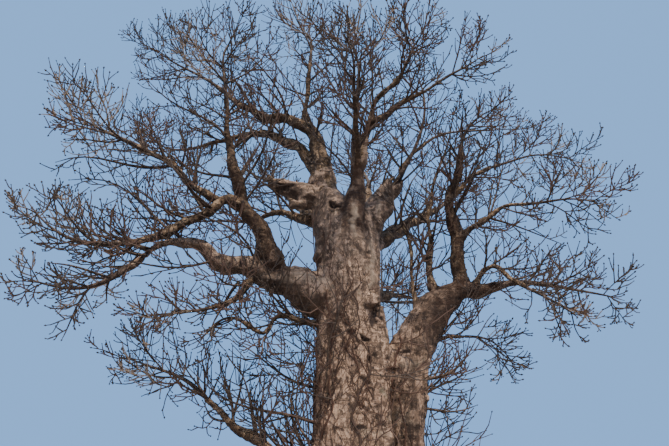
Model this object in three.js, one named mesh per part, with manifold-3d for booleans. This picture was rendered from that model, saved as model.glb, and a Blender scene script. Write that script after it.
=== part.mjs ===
// A bare baobab: two stems grown together at the foot, their boughs, and the twigs that each bough ends in.
// Millimetres, +Z up and +Y away from the viewer. The origin is on the flat cut under the trunk, at ground level.

import * as THREE from "three";
import { mergeVertices } from "three/addons/utils/BufferGeometryUtils.js";
import Module from "manifold-3d";

const wasm = await Module();
wasm.setup();

// Driving dimensions
const GAP = 0.3; // play between neighbouring solids
const BURIED = 250; // how far a stem is drawn below the ground before it is cut level
const GROUND_SIZE = 9000; // the block that cuts the stems level

const TRUNK_SIDES = 22;
const STEM_SIDES = 14;
const BOUGH_SIDES = 6;
const BOUGH_RINGS = 2; // rings from one bend of a bough to the next

const FLARE_LOBES = 7; // roots that show as buttresses round the foot
const FLARE_DEPTH = 0.09; // how far they stand out, as a share of the radius
const FLARE_HEIGHT = 1100; // height over which they die out
const FLUTE_DEPTH = 0.035; // shallow flutes that run on up the trunk

// Height, sideways place and radius of the trunk
const TRUNK = [
  { z: 0, x: -450, r: 1650 },
  { z: 600, x: -470, r: 1420 },
  { z: 1500, x: -500, r: 1180 },
  { z: 2500, x: -500, r: 1060 },
  { z: 3800, x: -455, r: 1060 },
  { z: 4700, x: -450, r: 1020 },
  { z: 5200, x: -480, r: 970 },
  { z: 6500, x: -530, r: 970 },
  { z: 7800, x: -490, r: 1020 },
  { z: 8600, x: -580, r: 1020 },
  { z: 9300, x: -880, r: 850 },
  { z: 9900, x: -1120, r: 600 },
  { z: 10300, x: -1210, r: 420 },
];

const SECOND_STEM = [
  { z: 0, x: 1000, r: 900 },
  { z: 700, x: 1030, r: 700 },
  { z: 2300, x: 1060, r: 530 },
  { z: 3500, x: 1120, r: 590 },
  { z: 4700, x: 1250, r: 640 },
  { z: 5600, x: 1740, r: 590 },
  { z: 6450, x: 2350, r: 480 },
];

// A bough's path starts on the axis of the limb that bears it. thick is the radius at its foot and its tip.
// far is the furthest tip of the twigs beyond it, spread how far they stray from their own stem, and droop
// how much they hang. taper above 1 makes a bough lose its thickness early.
const BOUGHS = [
  {
    name: "left_arm",
    thick: [690, 105],
    taper: 2,
    path: [[-750, 0, 6300], [-2000, -300, 6850], [-3350, -900, 7200], [-4450, -1300, 7400],
      [-5100, -1500, 7800], [-5800, -1900, 7700], [-6650, -2400, 6750]],
    far: [-9250, -3000, 6350],
    spread: 1500,
    droop: 0.13,
  },
  {
    name: "left_riser",
    thick: [330, 70],
    path: [[-2650, -600, 7000], [-3150, -1100, 8200], [-3700, -1400, 9100], [-4000, -1700, 9950],
      [-4300, -1900, 11200], [-4450, -2100, 12600]],
    far: [-4600, -1500, 15550],
    spread: 1900,
  },
  {
    name: "left_shoulder",
    thick: [190, 80],
    path: [[-3650, -1400, 9050], [-4200, -1600, 9200], [-4800, -1900, 8650], [-5700, -2200, 7950],
      [-6350, -2400, 7550], [-6850, -2600, 7400]],
    far: [-9600, -2900, 8600],
    spread: 1500,
  },
  {
    name: "left_high",
    thick: [130, 75],
    path: [[-4350, -1650, 9100], [-5050, -1900, 9400], [-5850, -2200, 10100], [-6900, -2500, 10600]],
    far: [-8950, -2800, 11600],
    spread: 1800,
  },
  {
    name: "top_left",
    thick: [320, 70],
    path: [[-1200, 0, 9900], [-1400, 200, 11700], [-1900, 400, 13100], [-2800, 600, 13700],
      [-3700, 800, 13950], [-4850, 1000, 14850], [-5700, 1100, 15650]],
    far: [-8500, 1200, 17600],
    spread: 2100,
  },
  {
    name: "outer_left",
    thick: [260, 65],
    path: [[-1300, 200, 9800], [-1700, 500, 11650], [-2250, 800, 12500], [-3000, 1100, 13150],
      [-4050, 1500, 13650], [-5150, 1900, 13650], [-6350, 2300, 13550]],
    far: [-9500, 3200, 15300],
    spread: 2000,
  },
  {
    name: "top_centre",
    thick: [130, 75],
    path: [[-2050, 450, 13200], [-2000, 400, 14400], [-1900, 300, 16050]],
    far: [-2950, 1700, 18850],
    spread: 2000,
  },
  {
    name: "centre",
    thick: [330, 150],
    path: [[-500, -200, 7700], [-350, -700, 8800], [-250, -900, 9950], [-220, -1100, 10950],
      [-250, -1200, 11600]],
    far: [-550, -500, 17050],
    spread: 1900,
  },
  {
    name: "centre_fork",
    thick: [140, 60],
    path: [[-230, -1000, 10500], [50, -1300, 11450], [200, -1500, 12250], [400, -1700, 12750],
      [1150, -2100, 13450], [1450, -2300, 13950]],
    far: [1950, -1900, 15150],
    spread: 1800,
  },
  {
    name: "centre_right",
    thick: [110, 55],
    path: [[170, -1450, 12100], [700, -1600, 12350], [1400, -1700, 12850], [2050, -1800, 13150],
      [2650, -1900, 13550]],
    far: [4100, -2000, 14500],
    spread: 1600,
  },
  {
    name: "front_top",
    thick: [110, 60],
    path: [[-220, -1000, 10500], [-250, -2200, 11350], [-350, -3000, 12100]],
    far: [-700, -4200, 13500],
    spread: 1700,
  },
  {
    name: "right_leader",
    thick: [460, 350],
    path: [[-450, 100, 7850], [150, 100, 9150], [550, 200, 9900], [1000, 300, 10600]],
    far: [1950, 1200, 17300],
    spread: 1900,
  },
  {
    name: "leader_shoot",
    thick: [100, 55],
    path: [[700, 250, 9900], [1330, 500, 10800], [1450, 650, 11600], [1850, 900, 12250], [2550, 1200, 13050]],
    far: [7300, 2800, 14700],
    spread: 1800,
  },
  {
    name: "right_arm",
    thick: [470, 130],
    path: [[2050, 0, 6050], [2350, 0, 6450], [3050, -100, 6750], [3600, -300, 6750], [4150, -500, 6850]],
    far: [7650, -900, 6250],
    spread: 1500,
    droop: 0.06,
  },
  {
    name: "right_riser",
    thick: [260, 70],
    path: [[3050, -100, 6700], [3000, -200, 8150], [2900, -300, 9300], [2900, -400, 10000],
      [3250, -500, 10800], [3350, -600, 11600]],
    far: [4900, -900, 13200],
    spread: 1700,
  },
  {
    name: "right_outer",
    thick: [90, 50],
    path: [[2900, -380, 9850], [3550, -300, 10600], [4250, -100, 11150], [4850, 100, 11450]],
    far: [8300, 800, 11850],
    spread: 1600,
  },
  {
    name: "right_middle",
    thick: [110, 50],
    path: [[2950, -220, 8350], [3450, -500, 8750], [3950, -800, 9000], [4450, -1000, 9300],
      [5200, -1200, 9300]],
    far: [7350, -1600, 9050],
    spread: 1600,
  },
  {
    name: "right_low",
    thick: [110, 50],
    path: [[3350, -200, 6750], [3650, -500, 7300], [3950, -800, 7350], [4400, -1100, 6800],
      [4900, -1300, 6400]],
    far: [5700, -2000, 5450],
    spread: 1200,
    droop: 0.12,
  },
  {
    name: "right_inner",
    thick: [130, 60],
    path: [[2250, 0, 6300], [2150, 200, 7600], [2250, 400, 8700], [2300, 500, 9700], [2500, 600, 10700]],
    far: [3600, 600, 14350],
    spread: 1400,
  },
  {
    name: "right_slim",
    thick: [85, 40],
    path: [[1750, 0, 5600], [1550, 100, 7050], [1550, 300, 8500], [1300, 500, 9600]],
  },
  {
    name: "stem_shoot",
    thick: [75, 45],
    path: [[1500, 0, 4900], [2500, 200, 5400], [3100, 300, 5450]],
    far: [4650, 600, 4550],
    spread: 1300,
    droop: 0.12,
  },
  {
    name: "low_left",
    thick: [180, 70],
    path: [[-500, -150, 900], [-2600, -300, 2100], [-3700, -200, 2750], [-4450, 0, 3350], [-5100, 300, 3900]],
    far: [-7900, 1200, 5000],
    spread: 1700,
  },
  {
    name: "left_hanging",
    thick: [110, 55],
    path: [[-3350, -900, 7150], [-3600, -1200, 6450], [-4000, -1400, 6050], [-4400, -1600, 5850]],
    far: [-6350, -2200, 5400],
    spread: 1300,
    droop: 0.16,
  },
  {
    name: "crooked",
    thick: [100, 55],
    path: [[-600, 0, 5500], [-2000, -400, 5800], [-2650, -500, 5850], [-3050, -700, 5350],
      [-3600, -900, 5600]],
    far: [-4750, -1600, 4700],
    spread: 1200,
    droop: 0.12,
  },
  {
    name: "broken_stub",
    thick: [400, 180],
    path: [[-1100, 0, 9700], [-2100, -100, 10250], [-3050, -200, 10550]],
  },
  {
    name: "under_left",
    thick: [190, 70],
    path: [[-900, 100, 8900], [-2150, 700, 9700], [-3100, 1200, 10100], [-3600, 1600, 10100]],
    far: [-7000, 3800, 10900],
    spread: 1900,
  },
  {
    name: "back_left",
    thick: [420, 110],
    path: [[-600, 0, 8000], [-1300, 1500, 9600], [-2300, 3000, 11200], [-3000, 4200, 12300]],
    far: [-4900, 6600, 14600],
    spread: 2000,
  },
  {
    name: "back_centre",
    thick: [390, 110],
    path: [[-500, 0, 8300], [-100, 1400, 9900], [300, 2900, 11400], [500, 4000, 12600]],
    far: [300, 6400, 15700],
    spread: 2000,
  },
  {
    name: "back_right",
    thick: [360, 100],
    path: [[-300, 0, 8000], [900, 1300, 9200], [2100, 2700, 10400], [3200, 3700, 11400]],
    far: [5600, 6200, 13600],
    spread: 2000,
  },
  {
    name: "back_low",
    thick: [360, 90],
    path: [[-500, 0, 6300], [200, 1800, 7100], [900, 3400, 7700], [1500, 4700, 8100]],
    far: [2200, 7100, 9300],
    spread: 2000,
  },
];

// How the twigs of one mass branch. Order 0 is the stem that runs from the bough's tip to the furthest tip.
// offshoot is the length of a shoot's first side shoots, against the mass's spread for the stem and against
// its own length after that. A side shoot leaves at angle, give or take half of angleRange, both in degrees.
// lift is how much it turns upwards, and sway how crooked it is.
const ORDERS = [
  { offshoot: 1.2, sway: 0.035, pieces: 4, sides: 5 },
  { count: 6, offshoot: 0.65, angle: 50, angleRange: 24, lift: 0.16, sway: 0.05, pieces: 3, sides: 3 },
  { count: 1, offshoot: 0.65, angle: 46, angleRange: 24, lift: 0.24, sway: 0.05, pieces: 2, sides: 3 },
];
const STEM_RADIUS = 85; // the most that the stem of a mass measures at its root
const END_RADIUS = 10; // a twig's radius just before its tip
const CHILD_RADIUS = 0.62; // a shoot's radius against its parent's where it leaves it
const FIRST_SHOOT = 0.1; // shoots leave their parent from here
const LAST_SHOOT = 0.94; // to here, as shares of its length
const LENGTH_LOSS = 0.5; // how much shorter the last shoot is than the first
const SWAY_TURN = 5.2; // radians of sway along a shoot
const PLACE_STEP = 0.7548776662; // spreads shoots evenly along and round their parent
const ROLL_STEP = 0.5698402910;
const CLEARANCE = 60; // what a shoot keeps from limbs and from the next mass
const LOWEST = 350; // nothing grows nearer to the ground than this
const TRIES = [1, 0.75, 0.5]; // a shoot that doesn't fit is tried shorter, then skipped
const TEST_PLACES = [0.25, 0.5, 0.75, 1];

const UP = new THREE.Vector3(0, 0, 1);
const SIDEWAYS = new THREE.Vector3(1, 0, 0);
const STEEP = 0.8; // a heading this upright is measured from SIDEWAYS instead of UP

const BARK = new THREE.MeshStandardMaterial({ color: 0x8f786a, roughness: 0.92, metalness: 0 });
const BOUGH_BARK = new THREE.MeshStandardMaterial({ color: 0x6e584b, roughness: 0.92, metalness: 0 });
const TWIG_BARK = new THREE.MeshStandardMaterial({ color: 0x5b4a42, roughness: 0.9, metalness: 0 });

// Closed tubes, and solids made of them

/** A closed tube of rings square to their headings. A last radius of 0 makes a point. */
function tubeGeometry(centres, headings, radii, sides, profile = () => 1) {
  const last = centres.length - 1;
  const positions = [];
  const faces = [];
  const across = (Math.abs(headings[0].z) > STEEP ? SIDEWAYS : UP).clone();
  centres.forEach((centre, ring) => {
    const ahead = headings[ring];
    across.addScaledVector(ahead, -across.dot(ahead)).normalize();
    const round = ahead.clone().cross(across);
    const pointed = radii[ring] === 0;
    for (let corner = 0; corner < (pointed ? 1 : sides); corner += 1) {
      const angle = (corner / sides) * 2 * Math.PI;
      const radius = radii[ring] * profile(angle, centre.z);
      const point = centre.clone()
        .addScaledVector(across, radius * Math.cos(angle))
        .addScaledVector(round, radius * Math.sin(angle));
      positions.push(point.x, point.y, point.z);
    }
    if (ring === 0) return;
    const below = (ring - 1) * sides;
    const above = ring * sides;
    for (let corner = 0; corner < sides; corner += 1) {
      const next = (corner + 1) % sides;
      faces.push(below + corner, below + next, above + (pointed ? 0 : corner));
      if (!pointed) faces.push(below + next, above + next, above + corner);
    }
  });
  for (let corner = 1; corner < sides - 1; corner += 1) {
    faces.push(0, corner + 1, corner);
    if (radii[last] > 0) faces.push(last * sides, last * sides + corner, last * sides + corner + 1);
  }
  const geometry = new THREE.BufferGeometry();
  geometry.setAttribute("position", new THREE.Float32BufferAttribute(positions, 3));
  geometry.setIndex(faces);
  return geometry;
}

function solidOf(geometry) {
  geometry.deleteAttribute("normal");
  geometry.deleteAttribute("uv");
  const merged = mergeVertices(geometry);
  const vertProperties = Float32Array.from(merged.attributes.position.array);
  const triVerts = Uint32Array.from(merged.index.array);
  return new wasm.Manifold(new wasm.Mesh({ numProp: 3, vertProperties, triVerts }));
}

/** The largest of a solid's separate pieces, so that no scrap of a cut stays behind. */
function largestPiece(solid) {
  return solid.decompose().reduce((best, piece) => (piece.volume() > best.volume() ? piece : best));
}

function meshOf(name, solid, material) {
  const { vertProperties, triVerts } = solid.getMesh();
  const geometry = new THREE.BufferGeometry();
  geometry.setAttribute("position", new THREE.BufferAttribute(vertProperties, 3));
  geometry.setIndex(new THREE.BufferAttribute(triVerts, 1));
  geometry.computeVertexNormals();
  const mesh = new THREE.Mesh(geometry, material.clone());
  mesh.name = name;
  return mesh;
}

// Limbs: the two stems and the boughs

function boxesMeet(a, b) {
  return [0, 1, 2].every((axis) => a.min[axis] <= b.max[axis] && b.min[axis] <= a.max[axis]);
}

/** Buttresses round the foot that die out upwards, and shallow flutes above them. */
function fluted(angle, height) {
  const fade = Math.exp(-Math.max(height, 0) / FLARE_HEIGHT);
  const lobes = Math.cos(FLARE_LOBES * angle + Math.sin(2 * angle)) + 0.5 * Math.cos(3 * angle + 2);
  const flutes = Math.cos(5 * angle + 1.3) + 0.6 * Math.cos(3 * angle + height / 2600);
  return 1 + FLARE_DEPTH * fade * lobes + FLUTE_DEPTH * flutes;
}

/** A stem from its stations: it starts below the ground, and is cut level there afterwards. */
function stemLimb(name, stations, sides) {
  const foot = { ...stations[0], z: -BURIED };
  const line = [foot, ...stations].map(({ x, z }) => new THREE.Vector3(x, 0, z));
  const width = [foot, ...stations].map(({ r }) => new THREE.Vector3(r, 0, 0));
  return { name, sides, profile: fluted, ...rings(line, width, 1) };
}

/** A bough from its path, tapering from its foot to its flat tip. */
function boughLimb({ name, path, thick, taper = 1 }) {
  const line = path.map(([x, y, z]) => new THREE.Vector3(x, y, z));
  const [foot, tip] = thick;
  const width = path.map((_, bend) => {
    const left = 1 - bend / (path.length - 1);
    return new THREE.Vector3(tip + (foot - tip) * left ** taper, 0, 0);
  });
  return { name, sides: BOUGH_SIDES, profile: () => 1, ...rings(line, width, BOUGH_RINGS) };
}

/** Centres, headings and radii at even steps along smooth curves through the bends. */
function rings(line, width, perBend) {
  const count = (line.length - 1) * perBend;
  const centres = new THREE.CatmullRomCurve3(line).getPoints(count);
  const headings = centres.map((_, ring) => {
    const before = centres[Math.max(ring - 1, 0)];
    const after = centres[Math.min(ring + 1, count)];
    return after.clone().sub(before).normalize();
  });
  const radii = new THREE.CatmullRomCurve3(width, false, "catmullrom").getPoints(count).map(({ x }) => x);
  return { centres, headings, radii };
}

/** A limb's solid, made larger all round by grow where it serves to cut its neighbours. */
function limbSolid(limb, grow) {
  const { headings, sides, profile } = limb;
  const centres = limb.centres.map((centre) => centre.clone());
  centres[0].addScaledVector(headings[0], -grow);
  centres.at(-1).addScaledVector(headings.at(-1), grow);
  const radii = limb.radii.map((radius) => radius + grow / Math.cos(Math.PI / sides));
  return solidOf(tubeGeometry(centres, headings, radii, sides, profile));
}

/** Cuts each limb clear of the ones before it, and every limb level with the ground. */
function cutLimbs(limbs) {
  const block = new THREE.BoxGeometry(GROUND_SIZE, GROUND_SIZE, GROUND_SIZE);
  block.translate(0, 0, -GROUND_SIZE / 2);
  const ground = solidOf(block);
  const cutters = [];
  return limbs.map((limb) => {
    let solid = limbSolid(limb, 0).subtract(ground);
    const box = solid.boundingBox();
    cutters.filter((cutter) => boxesMeet(box, cutter.boundingBox())).forEach((cutter) => {
      solid = solid.subtract(cutter);
    });
    cutters.push(limbSolid(limb, GAP));
    return largestPiece(solid);
  });
}

// Twigs

/** A number from 0 to 1 that is always the same for the same seed and salt. */
function chance(seed, salt) {
  let mixed = Math.imul(seed ^ Math.imul(salt + 1, 0x9e3779b1), 0x85ebca6b);
  mixed = Math.imul(mixed ^ (mixed >>> 13), 0xc2b2ae35);
  mixed ^= mixed >>> 16;
  return (mixed >>> 0) / 2 ** 32;
}

function seedOf(parentSeed, index) {
  return Math.floor(chance(parentSeed, 100 + index) * 2 ** 32);
}

/** How far a shoot has swung sideways at a share of its length. */
function swing(shoot, share) {
  return Math.sin(shoot.phase + SWAY_TURN * share) - Math.sin(shoot.phase);
}

/** The point at a share of a shoot's length. */
function pointOn(shoot, share) {
  return shoot.root.clone()
    .addScaledVector(shoot.ahead, shoot.length * share)
    .addScaledVector(shoot.bend, shoot.length * share * share)
    .addScaledVector(shoot.sway, shoot.length * swing(shoot, share));
}

/** The direction of growth at a share of a shoot's length. */
function growthAt(shoot, share) {
  return shoot.ahead.clone()
    .addScaledVector(shoot.bend, 2 * share)
    .addScaledVector(shoot.sway, SWAY_TURN * Math.cos(shoot.phase + SWAY_TURN * share))
    .normalize();
}

function radiusOn(shoot, share) {
  return END_RADIUS + (shoot.radius - END_RADIUS) * (1 - share);
}

/** Two directions square to a third, the first one level. */
function squareTo(direction) {
  const level = (Math.abs(direction.z) > 0.999 ? SIDEWAYS : UP).clone().cross(direction).normalize();
  return [level, direction.clone().cross(level)];
}

/** The stem of a mass: it leaves the bough's flat tip squarely and ends at the furthest tip. */
function massStem(bough, limb, index) {
  const seed = seedOf(index, 0);
  const ahead = limb.headings.at(-1);
  const root = limb.centres.at(-1).clone().addScaledVector(ahead, GAP);
  const reach = new THREE.Vector3(...bough.far).sub(root);
  const length = reach.length();
  const stem = { seed, order: 0, root, ahead, length, phase: Math.PI / 2, droop: bough.droop || 0 };
  const [level, upright] = squareTo(ahead);
  const turn = 2 * Math.PI * chance(seed, 1);
  stem.sway = level.multiplyScalar(Math.cos(turn)).addScaledVector(upright, Math.sin(turn))
    .multiplyScalar(ORDERS[0].sway);
  stem.bend = reach.divideScalar(length).sub(ahead).addScaledVector(stem.sway, -swing(stem, 1));
  stem.radius = Math.min(0.95 * limb.radii.at(-1), STEM_RADIUS);
  stem.offshoot = ORDERS[0].offshoot * bough.spread;
  return stem;
}

/** The side shoot that a parent has at one index of its even spread, whether or not it has room. */
function sideShoot(parent, index) {
  const order = parent.order + 1;
  const rule = ORDERS[order];
  const seed = seedOf(parent.seed, index);
  const spot = (0.35 + index * PLACE_STEP) % 1;
  const share = FIRST_SHOOT + (LAST_SHOOT - FIRST_SHOOT) * spot;
  const roll = 2 * Math.PI * ((chance(parent.seed, 7) + index * ROLL_STEP) % 1);
  const angle = THREE.MathUtils.degToRad(rule.angle + rule.angleRange * (chance(seed, 1) - 0.5));
  const growth = growthAt(parent, share);
  const [level, upright] = squareTo(growth);
  const outward = level.clone().multiplyScalar(Math.cos(roll)).addScaledVector(upright, Math.sin(roll));
  const turn = 2 * Math.PI * chance(seed, 2);
  const length = parent.offshoot * (1 - LENGTH_LOSS * spot) * (0.8 + 0.4 * chance(seed, 4));
  return {
    seed,
    order,
    length,
    offshoot: length * rule.offshoot,
    root: pointOn(parent, share),
    ahead: growth.multiplyScalar(Math.cos(angle)).addScaledVector(outward, Math.sin(angle)),
    bend: UP.clone().multiplyScalar(rule.lift - parent.droop),
    sway: level.multiplyScalar(Math.cos(turn) * rule.sway).addScaledVector(upright, Math.sin(turn) * rule.sway),
    phase: 2 * Math.PI * chance(seed, 3),
    radius: Math.max(CHILD_RADIUS * radiusOn(parent, share), 1.4 * END_RADIUS),
    droop: 0,
  };
}

function distanceToLine(point, line, radii = null) {
  const nearest = new THREE.Vector3();
  let least = Infinity;
  for (let piece = 0; piece + 1 < line.length; piece += 1) {
    new THREE.Line3(line[piece], line[piece + 1]).closestPointToPoint(point, true, nearest);
    const skin = radii ? Math.max(radii[piece], radii[piece + 1]) : 0;
    least = Math.min(least, nearest.distanceTo(point) - skin);
  }
  return least;
}

/** Whether a shoot keeps to its own mass's space, off the ground and clear of every limb. */
function hasRoom(shoot, own, masses, limbs) {
  return TEST_PLACES.every((share) => {
    const point = pointOn(shoot, share);
    const stray = distanceToLine(point, own.line);
    return point.z > LOWEST
      && stray < own.spread
      && masses.every((mass) => mass === own || distanceToLine(point, mass.line) > stray + 2 * CLEARANCE)
      && limbs.every((limb) => distanceToLine(point, limb.centres, limb.radii) > CLEARANCE);
  });
}

function twigSolid(shoot) {
  const { pieces, sides } = ORDERS[shoot.order];
  const shares = Array.from({ length: pieces + 1 }, (_, ring) => ring / pieces);
  const centres = shares.map((share) => pointOn(shoot, share));
  const headings = shares.map((share) => growthAt(shoot, share));
  const radii = shares.map((share) => (share === 1 ? 0 : radiusOn(shoot, share)));
  return solidOf(tubeGeometry(centres, headings, radii, sides));
}

/** A shoot with all that branches from it, joined in one solid. */
function grow(shoot, own, masses, limbs) {
  let solid = twigSolid(shoot);
  const rule = ORDERS[shoot.order + 1];
  for (let index = 0; rule && index < rule.count; index += 1) {
    const child = sideShoot(shoot, index);
    const full = child.length;
    const fitting = TRIES.find((part) => {
      child.length = full * part;
      return hasRoom(child, own, masses, limbs);
    });
    if (fitting) solid = solid.add(grow(child, own, masses, limbs));
  }
  return solid;
}

// The whole tree

const stems = [
  stemLimb("trunk", TRUNK, TRUNK_SIDES),
  stemLimb("second_stem", SECOND_STEM, STEM_SIDES),
];
const boughs = BOUGHS.map(boughLimb);
const limbs = [...stems, ...boughs];

const masses = BOUGHS.flatMap((bough, index) => {
  if (!bough.far) return [];
  const stem = massStem(bough, boughs[index], index);
  const line = [0, 0.25, 0.5, 0.75, 1].map((share) => pointOn(stem, share));
  return [{ name: `${bough.name}_twigs`, stem, line, spread: bough.spread }];
});

const baobab = new THREE.Group();
cutLimbs(limbs).forEach((solid, index) => {
  baobab.add(meshOf(limbs[index].name, solid, index < stems.length ? BARK : BOUGH_BARK));
});
masses.forEach((mass) => {
  const solid = largestPiece(grow(mass.stem, mass, masses, limbs));
  baobab.add(meshOf(mass.name, solid, TWIG_BARK));
});

export default baobab;
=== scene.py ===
"""The looks of a leafless baobab: bark in relief, and twigs that grow on by the model's own rule.

Metres, +Z up, +Y away from the viewer, origin on the flat cut under the trunk.
"""

import functools
import math

import bmesh
import bpy
import numpy as np
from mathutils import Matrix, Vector
from mathutils.bvhtree import BVHTree


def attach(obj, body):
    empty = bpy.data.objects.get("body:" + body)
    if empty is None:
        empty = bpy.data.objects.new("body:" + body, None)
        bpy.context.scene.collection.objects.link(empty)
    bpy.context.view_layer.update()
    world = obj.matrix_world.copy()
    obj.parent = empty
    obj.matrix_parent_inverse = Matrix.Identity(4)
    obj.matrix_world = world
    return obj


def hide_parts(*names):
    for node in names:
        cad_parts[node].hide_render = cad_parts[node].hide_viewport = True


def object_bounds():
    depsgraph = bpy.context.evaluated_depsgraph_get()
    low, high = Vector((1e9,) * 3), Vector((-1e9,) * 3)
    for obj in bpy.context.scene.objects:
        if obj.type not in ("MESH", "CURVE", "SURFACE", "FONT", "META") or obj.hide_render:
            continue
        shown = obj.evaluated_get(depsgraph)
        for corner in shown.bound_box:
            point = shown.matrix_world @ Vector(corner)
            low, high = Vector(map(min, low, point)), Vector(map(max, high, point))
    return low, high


bl_info = {
    "name": "Leafless baobab",
    "version": (1, 0, 0),
    "blender": (4, 5, 0),
    "location": "View3D > Sidebar > Baobab",
    "description": "Dresses the solids of a bare baobab in bark and twigs",
    "category": "Object",
}

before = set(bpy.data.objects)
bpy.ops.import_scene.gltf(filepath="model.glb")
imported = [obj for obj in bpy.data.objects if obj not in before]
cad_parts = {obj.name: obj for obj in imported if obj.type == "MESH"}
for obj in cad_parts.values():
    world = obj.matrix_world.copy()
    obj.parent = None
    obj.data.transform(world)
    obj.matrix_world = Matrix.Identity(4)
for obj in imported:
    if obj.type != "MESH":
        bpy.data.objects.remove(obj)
CAD_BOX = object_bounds()
REACH_LOW, REACH_HIGH = (np.array(corner) for corner in CAD_BOX)
BODY = "root"

# Limbs. Each stem has stations of height, sideways place and radius.
BURIED = 0.25
TRUNK = [
    (0.0, -0.45, 1.65), (0.6, -0.47, 1.42), (1.5, -0.5, 1.18), (2.5, -0.5, 1.06), (3.8, -0.455, 1.06),
    (4.7, -0.45, 1.02), (5.2, -0.48, 0.97), (6.5, -0.53, 0.97), (7.8, -0.49, 1.02), (8.6, -0.58, 1.02),
    (9.3, -0.88, 0.85), (9.9, -1.12, 0.6), (10.3, -1.21, 0.42),
]
SECOND_STEM = [
    (0.0, 1.0, 0.9), (0.7, 1.03, 0.7), (2.3, 1.06, 0.53), (3.5, 1.12, 0.59), (4.7, 1.25, 0.64),
    (5.6, 1.74, 0.59), (6.45, 2.35, 0.48),
]
FLARE_LOBES = 7
FLARE_DEPTH = 0.09
FLARE_HEIGHT = 1.1
FLUTE_DEPTH = 0.035
FLUTE_RISE = 2.6
STEM_SIDES = 72
STEM_RINGS_PER_STATION = 8
BOUGH_RINGS_PER_BEND = 8

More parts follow.
